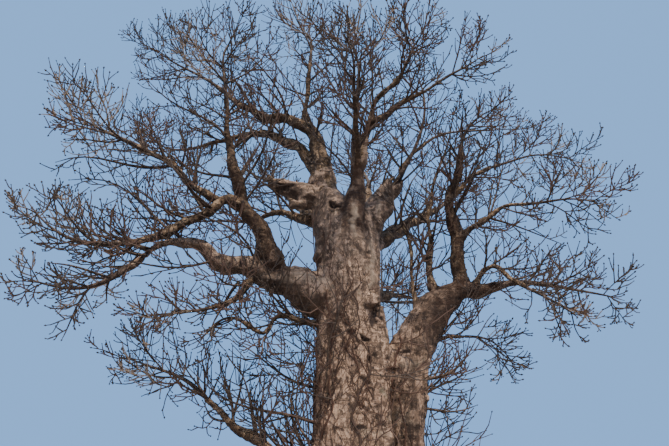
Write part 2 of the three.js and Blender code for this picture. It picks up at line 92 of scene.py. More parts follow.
# Each bough has its radius at foot and tip and the path of its axis. far is the furthest tip of the twigs
# beyond it, spread how far they stray from their own stem, and droop how much they hang.
BOUGHS = [
    dict(name="left_arm", thick=(0.69, 0.105), taper=2.0, far=(-9.25, -3.0, 6.35), spread=1.5, droop=0.13,
         path=[(-0.75, 0, 6.3), (-2, -0.3, 6.85), (-3.35, -0.9, 7.2), (-4.45, -1.3, 7.4),
               (-5.1, -1.5, 7.8), (-5.8, -1.9, 7.7), (-6.65, -2.4, 6.75)]),
    dict(name="left_riser", thick=(0.33, 0.07), far=(-4.6, -1.5, 15.55), spread=1.9,
         path=[(-2.65, -0.6, 7), (-3.15, -1.1, 8.2), (-3.7, -1.4, 9.1), (-4, -1.7, 9.95),
               (-4.3, -1.9, 11.2), (-4.45, -2.1, 12.6)]),
    dict(name="left_shoulder", thick=(0.19, 0.08), far=(-9.6, -2.9, 8.6), spread=1.5,
         path=[(-3.65, -1.4, 9.05), (-4.2, -1.6, 9.2), (-4.8, -1.9, 8.65), (-5.7, -2.2, 7.95),
               (-6.35, -2.4, 7.55), (-6.85, -2.6, 7.4)]),
    dict(name="left_high", thick=(0.13, 0.075), far=(-8.95, -2.8, 11.6), spread=1.8,
         path=[(-4.35, -1.65, 9.1), (-5.05, -1.9, 9.4), (-5.85, -2.2, 10.1), (-6.9, -2.5, 10.6)]),
    dict(name="top_left", thick=(0.32, 0.07), far=(-8.5, 1.2, 17.6), spread=2.1,
         path=[(-1.2, 0, 9.9), (-1.4, 0.2, 11.7), (-1.9, 0.4, 13.1), (-2.8, 0.6, 13.7),
               (-3.7, 0.8, 13.95), (-4.85, 1, 14.85), (-5.7, 1.1, 15.65)]),
    dict(name="outer_left", thick=(0.26, 0.065), far=(-9.5, 3.2, 15.3), spread=2.0,
         path=[(-1.3, 0.2, 9.8), (-1.7, 0.5, 11.65), (-2.25, 0.8, 12.5), (-3, 1.1, 13.15),
               (-4.05, 1.5, 13.65), (-5.15, 1.9, 13.65), (-6.35, 2.3, 13.55)]),
    dict(name="top_centre", thick=(0.13, 0.075), far=(-2.95, 1.7, 18.85), spread=2.0,
         path=[(-2.05, 0.45, 13.2), (-2, 0.4, 14.4), (-1.9, 0.3, 16.05)]),
    dict(name="centre", thick=(0.33, 0.15), far=(-0.55, -0.5, 17.05), spread=1.9,
         path=[(-0.5, -0.2, 7.7), (-0.35, -0.7, 8.8), (-0.25, -0.9, 9.95), (-0.22, -1.1, 10.95),
               (-0.25, -1.2, 11.6)]),
    dict(name="centre_fork", thick=(0.14, 0.06), far=(1.95, -1.9, 15.15), spread=1.8,
         path=[(-0.23, -1, 10.5), (0.05, -1.3, 11.45), (0.2, -1.5, 12.25), (0.4, -1.7, 12.75),
               (1.15, -2.1, 13.45), (1.45, -2.3, 13.95)]),
    dict(name="centre_right", thick=(0.11, 0.055), far=(4.1, -2, 14.5), spread=1.6,
         path=[(0.17, -1.45, 12.1), (0.7, -1.6, 12.35), (1.4, -1.7, 12.85), (2.05, -1.8, 13.15),
               (2.65, -1.9, 13.55)]),
    dict(name="front_top", thick=(0.11, 0.06), far=(-0.7, -4.2, 13.5), spread=1.7,
         path=[(-0.22, -1, 10.5), (-0.25, -2.2, 11.35), (-0.35, -3, 12.1)]),
    dict(name="right_leader", thick=(0.46, 0.35), far=(1.95, 1.2, 17.3), spread=1.9,
         path=[(-0.45, 0.1, 7.85), (0.15, 0.1, 9.15), (0.55, 0.2, 9.9), (1, 0.3, 10.6)]),
    dict(name="leader_shoot", thick=(0.1, 0.055), far=(7.3, 2.8, 14.7), spread=1.8,
         path=[(0.7, 0.25, 9.9), (1.33, 0.5, 10.8), (1.45, 0.65, 11.6), (1.85, 0.9, 12.25),
               (2.55, 1.2, 13.05)]),
    dict(name="right_arm", thick=(0.47, 0.13), far=(7.65, -0.9, 6.25), spread=1.5, droop=0.06,
         path=[(2.05, 0, 6.05), (2.35, 0, 6.45), (3.05, -0.1, 6.75), (3.6, -0.3, 6.75), (4.15, -0.5, 6.85)]),
    dict(name="right_riser", thick=(0.26, 0.07), far=(4.9, -0.9, 13.2), spread=1.7,
         path=[(3.05, -0.1, 6.7), (3, -0.2, 8.15), (2.9, -0.3, 9.3), (2.9, -0.4, 10),
               (3.25, -0.5, 10.8), (3.35, -0.6, 11.6)]),
    dict(name="right_outer", thick=(0.09, 0.05), far=(8.3, 0.8, 11.85), spread=1.6,
         path=[(2.9, -0.38, 9.85), (3.55, -0.3, 10.6), (4.25, -0.1, 11.15), (4.85, 0.1, 11.45)]),
    dict(name="right_middle", thick=(0.11, 0.05), far=(7.35, -1.6, 9.05), spread=1.6,
         path=[(2.95, -0.22, 8.35), (3.45, -0.5, 8.75), (3.95, -0.8, 9), (4.45, -1, 9.3), (5.2, -1.2, 9.3)]),
    dict(name="right_low", thick=(0.11, 0.05), far=(5.7, -2, 5.45), spread=1.2, droop=0.12,
         path=[(3.35, -0.2, 6.75), (3.65, -0.5, 7.3), (3.95, -0.8, 7.35), (4.4, -1.1, 6.8),
               (4.9, -1.3, 6.4)]),
    dict(name="right_inner", thick=(0.13, 0.06), far=(3.6, 0.6, 14.35), spread=1.4,
         path=[(2.25, 0, 6.3), (2.15, 0.2, 7.6), (2.25, 0.4, 8.7), (2.3, 0.5, 9.7), (2.5, 0.6, 10.7)]),
    dict(name="right_slim", thick=(0.085, 0.04),
         path=[(1.75, 0, 5.6), (1.55, 0.1, 7.05), (1.55, 0.3, 8.5), (1.3, 0.5, 9.6)]),
    dict(name="stem_shoot", thick=(0.075, 0.045), far=(4.65, 0.6, 4.55), spread=1.3, droop=0.12,
         path=[(1.5, 0, 4.9), (2.5, 0.2, 5.4), (3.1, 0.3, 5.45)]),
    dict(name="low_left", thick=(0.18, 0.07), far=(-7.9, 1.2, 5), spread=1.7,
         path=[(-0.5, -0.15, 0.9), (-2.6, -0.3, 2.1), (-3.7, -0.2, 2.75), (-4.45, 0, 3.35),
               (-5.1, 0.3, 3.9)]),
    dict(name="left_hanging", thick=(0.11, 0.055), far=(-6.35, -2.2, 5.4), spread=1.3, droop=0.16,
         path=[(-3.35, -0.9, 7.15), (-3.6, -1.2, 6.45), (-4, -1.4, 6.05), (-4.4, -1.6, 5.85)]),
    dict(name="crooked", thick=(0.1, 0.055), far=(-4.75, -1.6, 4.7), spread=1.2, droop=0.12,
         path=[(-0.6, 0, 5.5), (-2, -0.4, 5.8), (-2.65, -0.5, 5.85), (-3.05, -0.7, 5.35), (-3.6, -0.9, 5.6)]),
    dict(name="broken_stub", thick=(0.4, 0.18),
         path=[(-1.1, 0, 9.7), (-2.1, -0.1, 10.25), (-3.05, -0.2, 10.55)]),
    dict(name="under_left", thick=(0.19, 0.07), far=(-7, 3.8, 10.9), spread=1.9,
         path=[(-0.9, 0.1, 8.9), (-2.15, 0.7, 9.7), (-3.1, 1.2, 10.1), (-3.6, 1.6, 10.1)]),
    dict(name="back_left", thick=(0.42, 0.11), far=(-4.9, 6.6, 14.6), spread=2.0,
         path=[(-0.6, 0, 8), (-1.3, 1.5, 9.6), (-2.3, 3, 11.2), (-3, 4.2, 12.3)]),
    dict(name="back_centre", thick=(0.39, 0.11), far=(0.3, 6.4, 15.7), spread=2.0,
         path=[(-0.5, 0, 8.3), (-0.1, 1.4, 9.9), (0.3, 2.9, 11.4), (0.5, 4, 12.6)]),
    dict(name="back_right", thick=(0.36, 0.1), far=(5.6, 6.2, 13.6), spread=2.0,
         path=[(-0.3, 0, 8), (0.9, 1.3, 9.2), (2.1, 2.7, 10.4), (3.2, 3.7, 11.4)]),
    dict(name="back_low", thick=(0.36, 0.09), far=(2.2, 7.1, 9.3), spread=2.0,
         path=[(-0.5, 0, 6.3), (0.2, 1.8, 7.1), (0.9, 3.4, 7.7), (1.5, 4.7, 8.1)]),
]

# The limbs whose surface is one skin with the trunk's, and the groups that the other boughs are skinned in
BOLE_BOUGHS = ["left_arm", "right_arm", "centre", "right_leader", "broken_stub"]
BOUGH_GROUPS = {
    "left_boughs": ["left_riser", "left_shoulder", "left_high", "left_hanging", "crooked", "low_left",
                    "under_left"],
    "top_boughs": ["top_left", "outer_left", "top_centre", "centre_fork", "centre_right", "front_top",
                   "leader_shoot"],
    "right_boughs": ["right_riser", "right_outer", "right_middle", "right_low", "right_inner", "right_slim",
                     "stem_shoot"],
    "back_boughs": ["back_left", "back_centre", "back_right", "back_low"],
}

# How the twigs of one mass branch, order by order. Order 0 is the stem that runs from the bough's tip to the
# furthest tip. count is how many side shoots a parent has, offshoot the length of a shoot's first side shoots
# against its own, and a side shoot leaves at angle, give or take half of spread_angle. lift turns it upwards,
# and sway makes it crooked. rings and sides are those of its skin.
ORDERS = [
    dict(offshoot=1.2, sway=0.035, rings=14, sides=10),
    dict(count=11, offshoot=0.65, angle=50, spread_angle=24, lift=0.16, sway=0.05, rings=8, sides=5),
    dict(count=9, offshoot=0.65, angle=46, spread_angle=24, lift=0.24, sway=0.05, rings=5, sides=5),
    dict(count=4, offshoot=0.6, angle=44, spread_angle=26, lift=0.3, sway=0.06, rings=3, sides=4),
]
STEM_RADIUS = 0.085
END_RADIUS = 0.0135
CHILD_RADIUS = 0.62
FIRST_SHOOT = 0.1
LAST_SHOOT = 0.94
LENGTH_LOSS = 0.5
LEAST_LENGTH = 0.8
LENGTH_SPREAD = 0.4
LEAST_RADIUS = 1.4 * END_RADIUS
STEM_FOOT = 0.95  # a mass's stem at its foot, against its bough's tip
SWAY_TURN = 5.2
FIRST_PLACE = 0.35
PLACE_STEP = 0.7548776662
ROLL_STEP = 0.5698402910
GAP = 0.0003
CLEARANCE = 0.06
LOWEST = 0.35
TRIES = (1.0, 0.75, 0.5)
TEST_PLACES = (0.25, 0.5, 0.75, 1.0)
UP = np.array([0.0, 0.0, 1.0])
SIDEWAYS = np.array([1.0, 0.0, 0.0])
STEEP = 0.8


# Limbs

class Limb:
    """A limb's axis: centres, headings and radii of its rings, from foot to tip."""

    def __init__(self, name, line, width, rings_per_bend):
        self.name = name
        self.centres = curve_through(line, rings_per_bend)
        self.radii = curve_through(np.array(width)[:, None], rings_per_bend, uniform=True)[:, 0]
        padded = np.vstack([self.centres[:1], self.centres, self.centres[-1:]])
        self.headings = unit(padded[2:] - padded[:-2])


def unit(vectors):
    return vectors / np.linalg.norm(vectors, axis=-1, keepdims=True)


def curve_through(points, steps, uniform=False):
    """Points at even steps along a Catmull-Rom curve, centripetal or uniform."""
    points = np.asarray(points, float)
    padded = np.vstack([2 * points[0] - points[1], points, 2 * points[-1] - points[-2]])
    found = [points[:1]]
    share = (np.arange(1, steps + 1) / steps)[:, None]
    for bend in range(len(points) - 1):
        p0, p1, p2, p3 = padded[bend:bend + 4]
        if uniform:
            start, end = 0.5 * (p2 - p0), 0.5 * (p3 - p1)
        else:
            d0, d1, d2 = (np.sqrt(np.linalg.norm(b - a)) for a, b in ((p0, p1), (p1, p2), (p2, p3)))
            start = d1 * ((p1 - p0) / d0 - (p2 - p0) / (d0 + d1) + (p2 - p1) / d1)
            end = d1 * ((p2 - p1) / d1 - (p3 - p1) / (d1 + d2) + (p3 - p2) / d2)
        square = -3 * p1 + 3 * p2 - 2 * start - end
        cube = 2 * p1 - 2 * p2 + start + end
        found.append(p1 + share * start + share**2 * square + share**3 * cube)
    return np.vstack(found)


def stem_limb(name, stations, rings_per_station=1):
    """A stem from its stations, which starts below the ground."""
    first = stations[0]
    stations = [(-BURIED, *first[1:]), *stations]
    line = [(x, 0, z) for z, x, _ in stations]
    return Limb(name, line, [r for _, _, r in stations], rings_per_station)


def bough_limb(bough, rings_per_bend):
    foot, tip = bough["thick"]
    bends = len(bough["path"]) - 1
    taper = bough.get("taper", 1.0)
    width = [tip + (foot - tip) * (1 - bend / bends) ** taper for bend in range(bends + 1)]
    return Limb(bough["name"], bough["path"], width, rings_per_bend)


def travel(points):
    """How far along a line each of its points lies."""
    steps = np.linalg.norm(np.diff(points, axis=0), axis=1)
    return np.concatenate([[0], np.cumsum(steps)])


def stem_at(stations, height):
    """A stem's middle and radius at one height or at many."""
    heights, middles, radii = zip(*stations)
    return np.interp(height, heights, middles), np.interp(height, heights, radii)


def level_way(angle):
    """The level direction at an angle from +X, or a row for each of many."""
    return np.stack([np.cos(angle), np.sin(angle), np.zeros_like(angle)], axis=-1)


def waves(at, phases, *terms, middle=0):
    """A sum of sine waves round a middle. Each term is a height and a pace."""
    return sum((height * np.sin(pace * at + phase) for (height, pace), phase in zip(terms, phases)), middle)


def risen(values, start, over):
    """From 0 at start to 1 further on, where over is how far, and below 0 if the values fall."""
    return np.clip((values - start) / over, 0, 1)


def fluted(angle, height):
    """Buttresses round the foot that die out upwards, and shallow flutes above them."""
    fade = np.exp(-np.maximum(height, 0) / FLARE_HEIGHT)
    lobes = np.cos(FLARE_LOBES * angle + np.sin(2 * angle)) + 0.5 * np.cos(3 * angle + 2)
    flutes = np.cos(5 * angle + 1.3) + 0.6 * np.cos(3 * angle + height / FLUTE_RISE)
    return 1 + FLARE_DEPTH * fade * lobes + FLUTE_DEPTH * flutes


RULE_STEMS = [stem_limb("trunk", TRUNK), stem_limb("second_stem", SECOND_STEM)]
RULE_BOUGHS = [bough_limb(bough, 2) for bough in BOUGHS]
# The boughs that carry a mass of twigs, their places among all boughs and their limbs
MASS_ROWS = [row for row, bough in enumerate(BOUGHS) if "far" in bough]
MASS_BOUGHS = [BOUGHS[row] for row in MASS_ROWS]
MASS_LIMBS = [RULE_BOUGHS[row] for row in MASS_ROWS]


# Twigs

# The seeds of what is spread by chance
STEM_SHOOT_SEED, RUNNER_SEED, SLIVER_SEED, MARK_SEED = 77, 901, 61, 55
CREEPER_SEED, ROPE_SEED, SPUR_SEED = 313, 414, 515


def chance(seed, salt):
    """Numbers from 0 to 1, the same each time for one seed. Each use of a seed has a salt of its own."""
    return hashed(seed, salt) / 2.0**32


def hashed(seed, salt):
    seed = np.asarray(seed, np.uint32)
    mixed = (seed ^ np.uint32((salt + 1) * 0x9E3779B1 & 0xFFFFFFFF)) * np.uint32(0x85EBCA6B)
    mixed = (mixed ^ (mixed >> np.uint32(13))) * np.uint32(0xC2B2AE35)
    return mixed ^ (mixed >> np.uint32(16))


def seed_of(parent_seed, index):
    return hashed(parent_seed, 100 + index)


class Shoots:
    """Shoots of one order, each a curve in closed form. Every field is an array with a row for each shoot."""

    FIELDS = ("seed", "mass", "spray", "root", "ahead", "bend", "sway", "phase", "length", "radius",
              "offshoot", "droop")

    def __init__(self, order, **fields):
        self.order = order
        for field in self.FIELDS:
            setattr(self, field, np.asarray(fields[field]))

    def __len__(self):
        return len(self.seed)

    def pick(self, rows):
        return Shoots(self.order, **{field: getattr(self, field)[rows] for field in self.FIELDS})

    def swing(self, share):
        return np.sin(self.phase + SWAY_TURN * share) - np.sin(self.phase)

    def point(self, share):
        way = self.ahead * share + self.bend * share**2 + self.sway * self.swing(share)[:, None]
        return self.root + self.length[:, None] * way

    def growth(self, share):
        turn = SWAY_TURN * np.cos(self.phase + SWAY_TURN * share)
        return unit(self.ahead + 2 * share * self.bend + self.sway * turn[:, None])

    def thickness(self, share):
        return END_RADIUS + (self.radius - END_RADIUS) * (1 - share)


def joined(batches):
    order = batches[0].order
    return Shoots(order, **{field: np.concatenate([getattr(batch, field) for batch in batches])
                            for field in Shoots.FIELDS})


def square_to(directions):
    """Two directions square to each one, the first of them level."""
    steep = np.abs(directions[:, 2:]) > 0.999
    level = unit(np.cross(np.where(steep, SIDEWAYS, UP), directions))
    return level, np.cross(directions, level)


def shoots_to(tips, order, root, ahead, sway, phase, seed, **fields):
    """Shoots that set off ahead of their roots and sway, but end at their tips."""
    reach = tips - root
    length = np.linalg.norm(reach, axis=1)
    swung = (np.sin(phase + SWAY_TURN) - np.sin(phase))[:, None]
    return Shoots(order, seed=seed, spray=seed, root=root, ahead=ahead, sway=sway, phase=phase, length=length,
                  bend=reach / length[:, None] - ahead - sway * swung, **fields)


def mass_stems():
    """The stem of each mass: it leaves its bough's flat tip squarely and ends at the furthest tip."""
    seed = seed_of(np.array(MASS_ROWS), 0)
    ahead = np.array([limb.headings[-1] for limb in MASS_LIMBS])
    level, upright = square_to(ahead)
    turn = 2 * np.pi * chance(seed, 1)[:, None]
    return shoots_to(
        np.array([bough["far"] for bough in MASS_BOUGHS]), 0, seed=seed, mass=np.arange(len(seed)),
        root=np.array([limb.centres[-1] for limb in MASS_LIMBS]) + GAP * ahead, ahead=ahead,
        sway=(level * np.cos(turn) + upright * np.sin(turn)) * ORDERS[0]["sway"],
        phase=np.full(len(seed), np.pi / 2),
        radius=np.minimum(STEM_FOOT * np.array([limb.radii[-1] for limb in MASS_LIMBS]), STEM_RADIUS),
        offshoot=ORDERS[0]["offshoot"] * MASS_SPREAD,
        droop=np.array([bough.get("droop", 0.0) for bough in MASS_BOUGHS]),
    )


MASS_SPREAD = np.array([bough["spread"] for bough in MASS_BOUGHS])
MASS_STEMS = mass_stems()
MASS_LINES = np.stack([MASS_STEMS.point(share) for share in (0, 0.25, 0.5, 0.75, 1)], axis=1)


def even_place(index):
    """The place, from 0 to 1, of one of any number of evenly spread shoots."""
    return (FIRST_PLACE + index * PLACE_STEP) % 1


def offshoots(parents, index):
    """The side shoot that each parent has at one index of its even spread."""
    place_along = even_place(index)
    share = FIRST_SHOOT + (LAST_SHOOT - FIRST_SHOOT) * place_along
    turned = (chance(parents.seed, 7) + index * ROLL_STEP) % 1
    length = parents.offshoot * (1 - LENGTH_LOSS * place_along)
    return shoots_from(
        parents.order + 1, seed_of(parents.seed, index), parents.mass, parents.spray, parents.point(share),
        parents.growth(share), 2 * np.pi * turned, length, CHILD_RADIUS * parents.thickness(share),
        parents.droop)


def shoots_from(order, seed, mass, spray, root, growth, roll, length, radius, droop):
    """Side shoots that leave their roots at the order's angle to the parent's growth, turned by roll."""
    rule = ORDERS[order]
    angle = np.radians(rule["angle"] + rule["spread_angle"] * (chance(seed, 1) - 0.5))[:, None]
    level, upright = square_to(growth)
    roll = roll[:, None]
    outward = level * np.cos(roll) + upright * np.sin(roll)
    turn = 2 * np.pi * chance(seed, 2)[:, None]
    length = length * (LEAST_LENGTH + LENGTH_SPREAD * chance(seed, 4))
    return Shoots(
        order, seed=seed, mass=mass, spray=seed if order == 1 else spray, root=root,
        ahead=growth * np.cos(angle) + outward * np.sin(angle),
        bend=UP * (rule["lift"] - droop)[:, None],
        sway=(level * np.cos(turn) + upright * np.sin(turn)) * rule["sway"],
        phase=2 * np.pi * chance(seed, 3), length=length,
        radius=np.maximum(radius, LEAST_RADIUS), offshoot=length * rule["offshoot"],
        droop=np.zeros(len(seed)),
    )


def distances(points, starts, ends):
    """The distance from each point to each piece of line."""
    along = ends - starts
    square = np.maximum((along**2).sum(-1), 1e-12)
    offset = points[:, None] - starts[None]
    share = np.clip((offset * along).sum(-1) / square, 0, 1)
    return np.linalg.norm(offset - share[..., None] * along, axis=-1)


class Surroundings:
    """Limbs as capsules, and how far points are outside them."""

    def __init__(self, limbs):
        self.starts = np.vstack([limb.centres[:-1] for limb in limbs])
        self.ends = np.vstack([limb.centres[1:] for limb in limbs])
        self.skins = np.concatenate([np.maximum(limb.radii[:-1], limb.radii[1:]) for limb in limbs])
        self.headings = unit(self.ends - self.starts)

    def clear(self, points):
        return (distances(points, self.starts, self.ends) - self.skins).min(-1)

    def nearest(self, point):
        """The heading and radius of the limb that a point is deepest in."""
        row = np.argmin(distances(point[None], self.starts, self.ends)[0] - self.skins)
        return self.headings[row], self.skins[row]


ALL_LIMBS = Surroundings(RULE_STEMS + RULE_BOUGHS)
POINTS_AT_ONCE = 6000


def clear_points(points, mass):
    """Whether points keep to their own mass's space, inside the reach, off the ground and clear of limbs."""
    clear = (points[:, 2] > LOWEST) & np.all((points > REACH_LOW) & (points < REACH_HIGH), axis=1)
    starts = MASS_LINES[:, :-1].reshape(-1, 3)
    ends = MASS_LINES[:, 1:].reshape(-1, 3)
    rows = np.flatnonzero(clear)
    for first in range(0, len(rows), POINTS_AT_ONCE):
        some = rows[first:first + POINTS_AT_ONCE]
        to_masses = distances(points[some], starts, ends).reshape(len(some), len(MASS_LINES), -1).min(-1)
        own = mass[some]
        held = own >= 0
        stray = np.where(held, to_masses[np.arange(len(some)), own], 0)
        inside = ~held | (stray < MASS_SPREAD[own])
        to_masses[np.flatnonzero(held), own[held]] = np.inf
        apart = to_masses.min(-1) > stray + 2 * CLEARANCE
        clear[some] = inside & apart & (ALL_LIMBS.clear(points[some]) > CLEARANCE)
    return clear


def has_room(shoots, places):
    fits = np.ones(len(shoots), bool)
    for share in places:
        rows = np.flatnonzero(fits)
        fits[rows] = clear_points(shoots.point(share)[rows], shoots.mass[rows])
    return fits


def fitted(shoots, places=TEST_PLACES):
    """The shoots that have room at their full length or, failing that, at a shorter one."""
    full = shoots.length.copy()
    open_rows = np.arange(len(shoots))
    kept = []
    for part in TRIES:
        some = shoots.pick(open_rows)
        some.length = full[open_rows] * part
        fits = has_room(some, places)
        kept.append(some.pick(np.flatnonzero(fits)))
        open_rows = open_rows[~fits]
    return joined(kept)


def branched(parents, count, places=TEST_PLACES):
    """All the side shoots of the parents that have room."""
    return fitted(joined([offshoots(parents, index) for index in range(count)]), places)


CELL = 0.64  # the size of the cubes in which crowded shoots are thinned out
BACK_CELL = 0.9  # the same at the back
# The room of a cube for the shoots of each order: how many at the most, the share of that in the middle of
# the crown, the gain outwards, and whether chance settles the last of them
ROOM_IN_CELL = {1: (2, 0.3, 1.1, 0), 2: (1.1, -0.02, 1.52, 1), 3: (2.3, -0.02, 1.52, 1)}
BACK_FROM = 0.4  # how far back the larger cubes start
CROWN_MIDDLE = (-0.5, 1.0, 10.5)
CROWN_HALF = (9.0, 6.0, 9.0)


def thinned(shoots):
    """The shoots without those that grow where their cube of space is full already."""
    spots = shoots.point(0.7)
    cells = np.floor(spots / np.where(spots[:, 1:2] > BACK_FROM, BACK_CELL, CELL)).astype(int)
    _, cell = np.unique(cells, axis=0, return_inverse=True)
    cell = cell.ravel()
    order = np.argsort(cell, kind="stable")
    firsts = np.searchsorted(cell[order], cell[order])
    rank = np.empty(len(cell), int)
    rank[order] = np.arange(len(cell)) - firsts
    outwards = np.linalg.norm((spots - CROWN_MIDDLE) / CROWN_HALF, axis=1)
    most, middle, gain, by_chance = ROOM_IN_CELL[shoots.order]
    room = most * (middle + gain * outwards)
    return shoots.pick(np.flatnonzero(rank + by_chance * chance(shoots.seed, 17) < room))


BOUGH_SHOOTS_PER_METRE = 3.6  # side shoots along the open part of a bough
BOUGH_SHOOTS_FROM = 0.22
BOUGH_SHOOTS_TO = 0.98
THICK_WOOD = 0.19  # the radius above which shoots grow scarce
BOUGH_SHOOT_LENGTH = 2.1
BOUGH_SHOOT_LOSS = 0.35  # how much shorter they are at the bough's tip
UPWARD_SHARE = 0.7  # how many of the boughs' shoots leave on the upper side
SHOOT_FOOT = 0.45  # a shoot's radius at its foot against its bough's
MOST_SHOOT_RADIUS = 0.05
LOOSE_PLACES = (0.5, 0.75, 1.0)  # where the shoots of no mass are tested for room
STEM_SHOOTS = 130
STEM_SHOOT_LENGTH = 1.9
STEM_SHOOT_RADIUS = 0.017
SECOND_STEM_SHARE = 0.2  # how many of the stems' shoots are on the second stem
LEFT_SHARE = 0.6  # how many of the trunk's are on its left


def loose_shoots(order, seed, root, growth, roll, length, radius):
    """Shoots that belong to no mass, where they have room."""
    none, nothing = np.full(len(seed), -1), np.zeros(len(seed))
    shoots = shoots_from(order, seed, none, seed, root, growth, roll, length, radius, nothing)
    return fitted(shoots, LOOSE_PLACES)


def bough_shoots():
    """Thin side shoots along the open part of every bough, which fill the inside of the crown."""
    roots, growths, radii, seeds, lengths = [], [], [], [], []
    for index, (bough, limb) in enumerate(zip(BOUGHS, RULE_BOUGHS)):
        if bough["name"] == "broken_stub":
            continue
        travelled = travel(limb.centres)
        count = int(BOUGH_SHOOTS_PER_METRE * travelled[-1] * (1 - BOUGH_SHOOTS_FROM))
        for shoot in range(count):
            share = BOUGH_SHOOTS_FROM + (BOUGH_SHOOTS_TO - BOUGH_SHOOTS_FROM) * even_place(shoot)
            root, growth, radius = (
                np.array([np.interp(share * travelled[-1], travelled, column) for column in columns])
                for columns in (limb.centres.T, limb.headings.T, [limb.radii]))
            if radius[0] > THICK_WOOD * (0.6 + 0.9 * chance(seed_of(index, 3), shoot)):
                continue
            roots.append(root)
            growths.append(growth)
            radii.append(radius[0])
            seeds.append(seed_of(seed_of(index, 1), shoot))
            lengths.append(BOUGH_SHOOT_LENGTH * (1 - BOUGH_SHOOT_LOSS * share))
    seed, radii = np.array(seeds, np.uint32), np.array(radii)
    turn = chance(seed, 9)
    roll = np.where(chance(seed, 10) < UPWARD_SHARE, np.pi * (1.2 * turn - 0.1), 2 * np.pi * turn)
    length = np.array(lengths) * (0.7 + 0.8 * chance(seed, 13) ** 2) + radii
    return loose_shoots(1, seed, np.array(roots), unit(np.array(growths)), roll, length,
                        np.minimum(SHOOT_FOOT * radii, MOST_SHOOT_RADIUS))


def numbered_seeds(parent_seed, index, count, step):
    return seed_of(np.full(count, parent_seed), index) + np.arange(count, dtype=np.uint32) * np.uint32(step)


def stem_shoots():
    """Thin shoots that break out of the bark of the two stems, most of them on the trunk's left."""
    seed = numbered_seeds(STEM_SHOOT_SEED, 0, STEM_SHOOTS, 2654435761)
    draw = [chance(seed, salt) for salt in range(5)]
    on_second = draw[1] < SECOND_STEM_SHARE
    height = np.where(on_second, 0.8 + 4.4 * draw[2], 0.6 + 6.4 * draw[2])
    side = np.where(draw[3] < LEFT_SHARE, np.pi + 1.1 * (draw[4] - 0.5), 2 * np.pi * draw[4])
    side = np.where(on_second, 1.6 * (draw[4] - 0.5), side)
    centre, radius = np.where(on_second, stem_at(SECOND_STEM, height), stem_at(TRUNK, height))
    outward = level_way(side)
    root = outward * (0.97 * radius)[:, None]
    root[:, 0] += centre
    root[:, 2] = height
    return loose_shoots(2, seed, root, unit(outward * 0.9 + UP * 0.6), 2 * np.pi * chance(seed, 9),
                        np.full(STEM_SHOOTS, STEM_SHOOT_LENGTH), np.full(STEM_SHOOTS, STEM_SHOOT_RADIUS))


